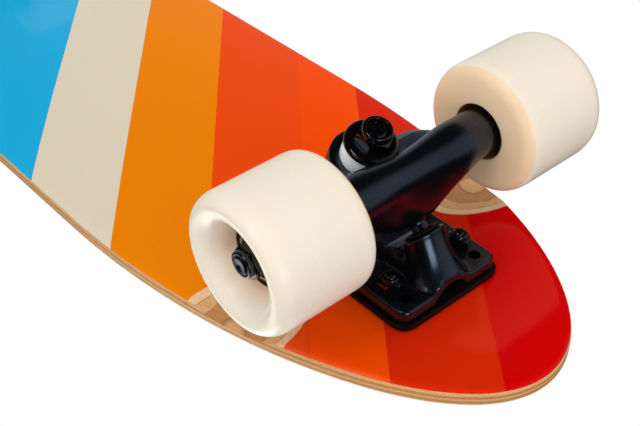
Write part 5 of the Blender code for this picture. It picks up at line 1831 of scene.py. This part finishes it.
class SKATE_OT_kingpins(Operator):
    """Make the kingpins with their nuts, washers and bushings"""
    bl_idname = "skate.kingpins"
    bl_label = "Kingpins"

    def execute(self, context):
        make_kingpins()
        return {"FINISHED"}


class SKATE_OT_hangers(Operator):
    """Make the cast hangers"""
    bl_idname = "skate.hangers"
    bl_label = "Hangers"

    def execute(self, context):
        make_hangers()
        return {"FINISHED"}


class SKATE_OT_axles(Operator):
    """Make the axles and their nuts"""
    bl_idname = "skate.axles"
    bl_label = "Axles"

    def execute(self, context):
        make_axles()
        return {"FINISHED"}


class SKATE_OT_bearings(Operator):
    """Make the bearings and finish their spacers"""
    bl_idname = "skate.bearings"
    bl_label = "Bearings"

    def execute(self, context):
        make_bearings()
        return {"FINISHED"}


class SKATE_OT_wheels(Operator):
    """Make the wheels"""
    bl_idname = "skate.wheels"
    bl_label = "Wheels"

    def execute(self, context):
        make_wheels()
        return {"FINISHED"}


class SKATE_OT_studio(Operator):
    """Make the floor, the world, the lamps and the camera"""
    bl_idname = "skate.studio"
    bl_label = "Studio"

    def execute(self, context):
        make_studio()
        return {"FINISHED"}


OPERATORS = (SKATE_OT_deck, SKATE_OT_bolts, SKATE_OT_risers, SKATE_OT_baseplates,
             SKATE_OT_pivot_cups, SKATE_OT_kingpins, SKATE_OT_hangers, SKATE_OT_axles,
             SKATE_OT_bearings, SKATE_OT_wheels, SKATE_OT_studio)
GROUPS = (("deck_sizes", DeckSizes), ("truck_sizes", TruckSizes), ("wheel_sizes", WheelSizes),
          ("finishes", Finishes), ("studio", StudioSettings))


class SKATE_PT_panel(Panel):
    """Buttons that make each part of the board"""
    bl_idname = "SKATE_PT_panel"
    bl_label = "Cruiser Skateboard"
    bl_space_type = "VIEW_3D"
    bl_region_type = "UI"
    bl_category = "Skateboard"

    def draw(self, context):
        for operator in OPERATORS:
            self.layout.operator(operator.bl_idname)


def register():
    for name, group in GROUPS:
        bpy.utils.register_class(group)
        setattr(bpy.types.Scene, name, PointerProperty(type=group))
    for item in (*OPERATORS, SKATE_PT_panel):
        bpy.utils.register_class(item)


def unregister():
    for item in (SKATE_PT_panel, *reversed(OPERATORS)):
        bpy.utils.unregister_class(item)
    for name, group in reversed(GROUPS):
        delattr(bpy.types.Scene, name)
        bpy.utils.unregister_class(group)


def main():
    """Make every part of the board and its studio."""
    register()
    for operator in OPERATORS:
        group, name = operator.bl_idname.split(".")
        getattr(getattr(bpy.ops, group), name)()


if __name__ == "__main__":
    main()
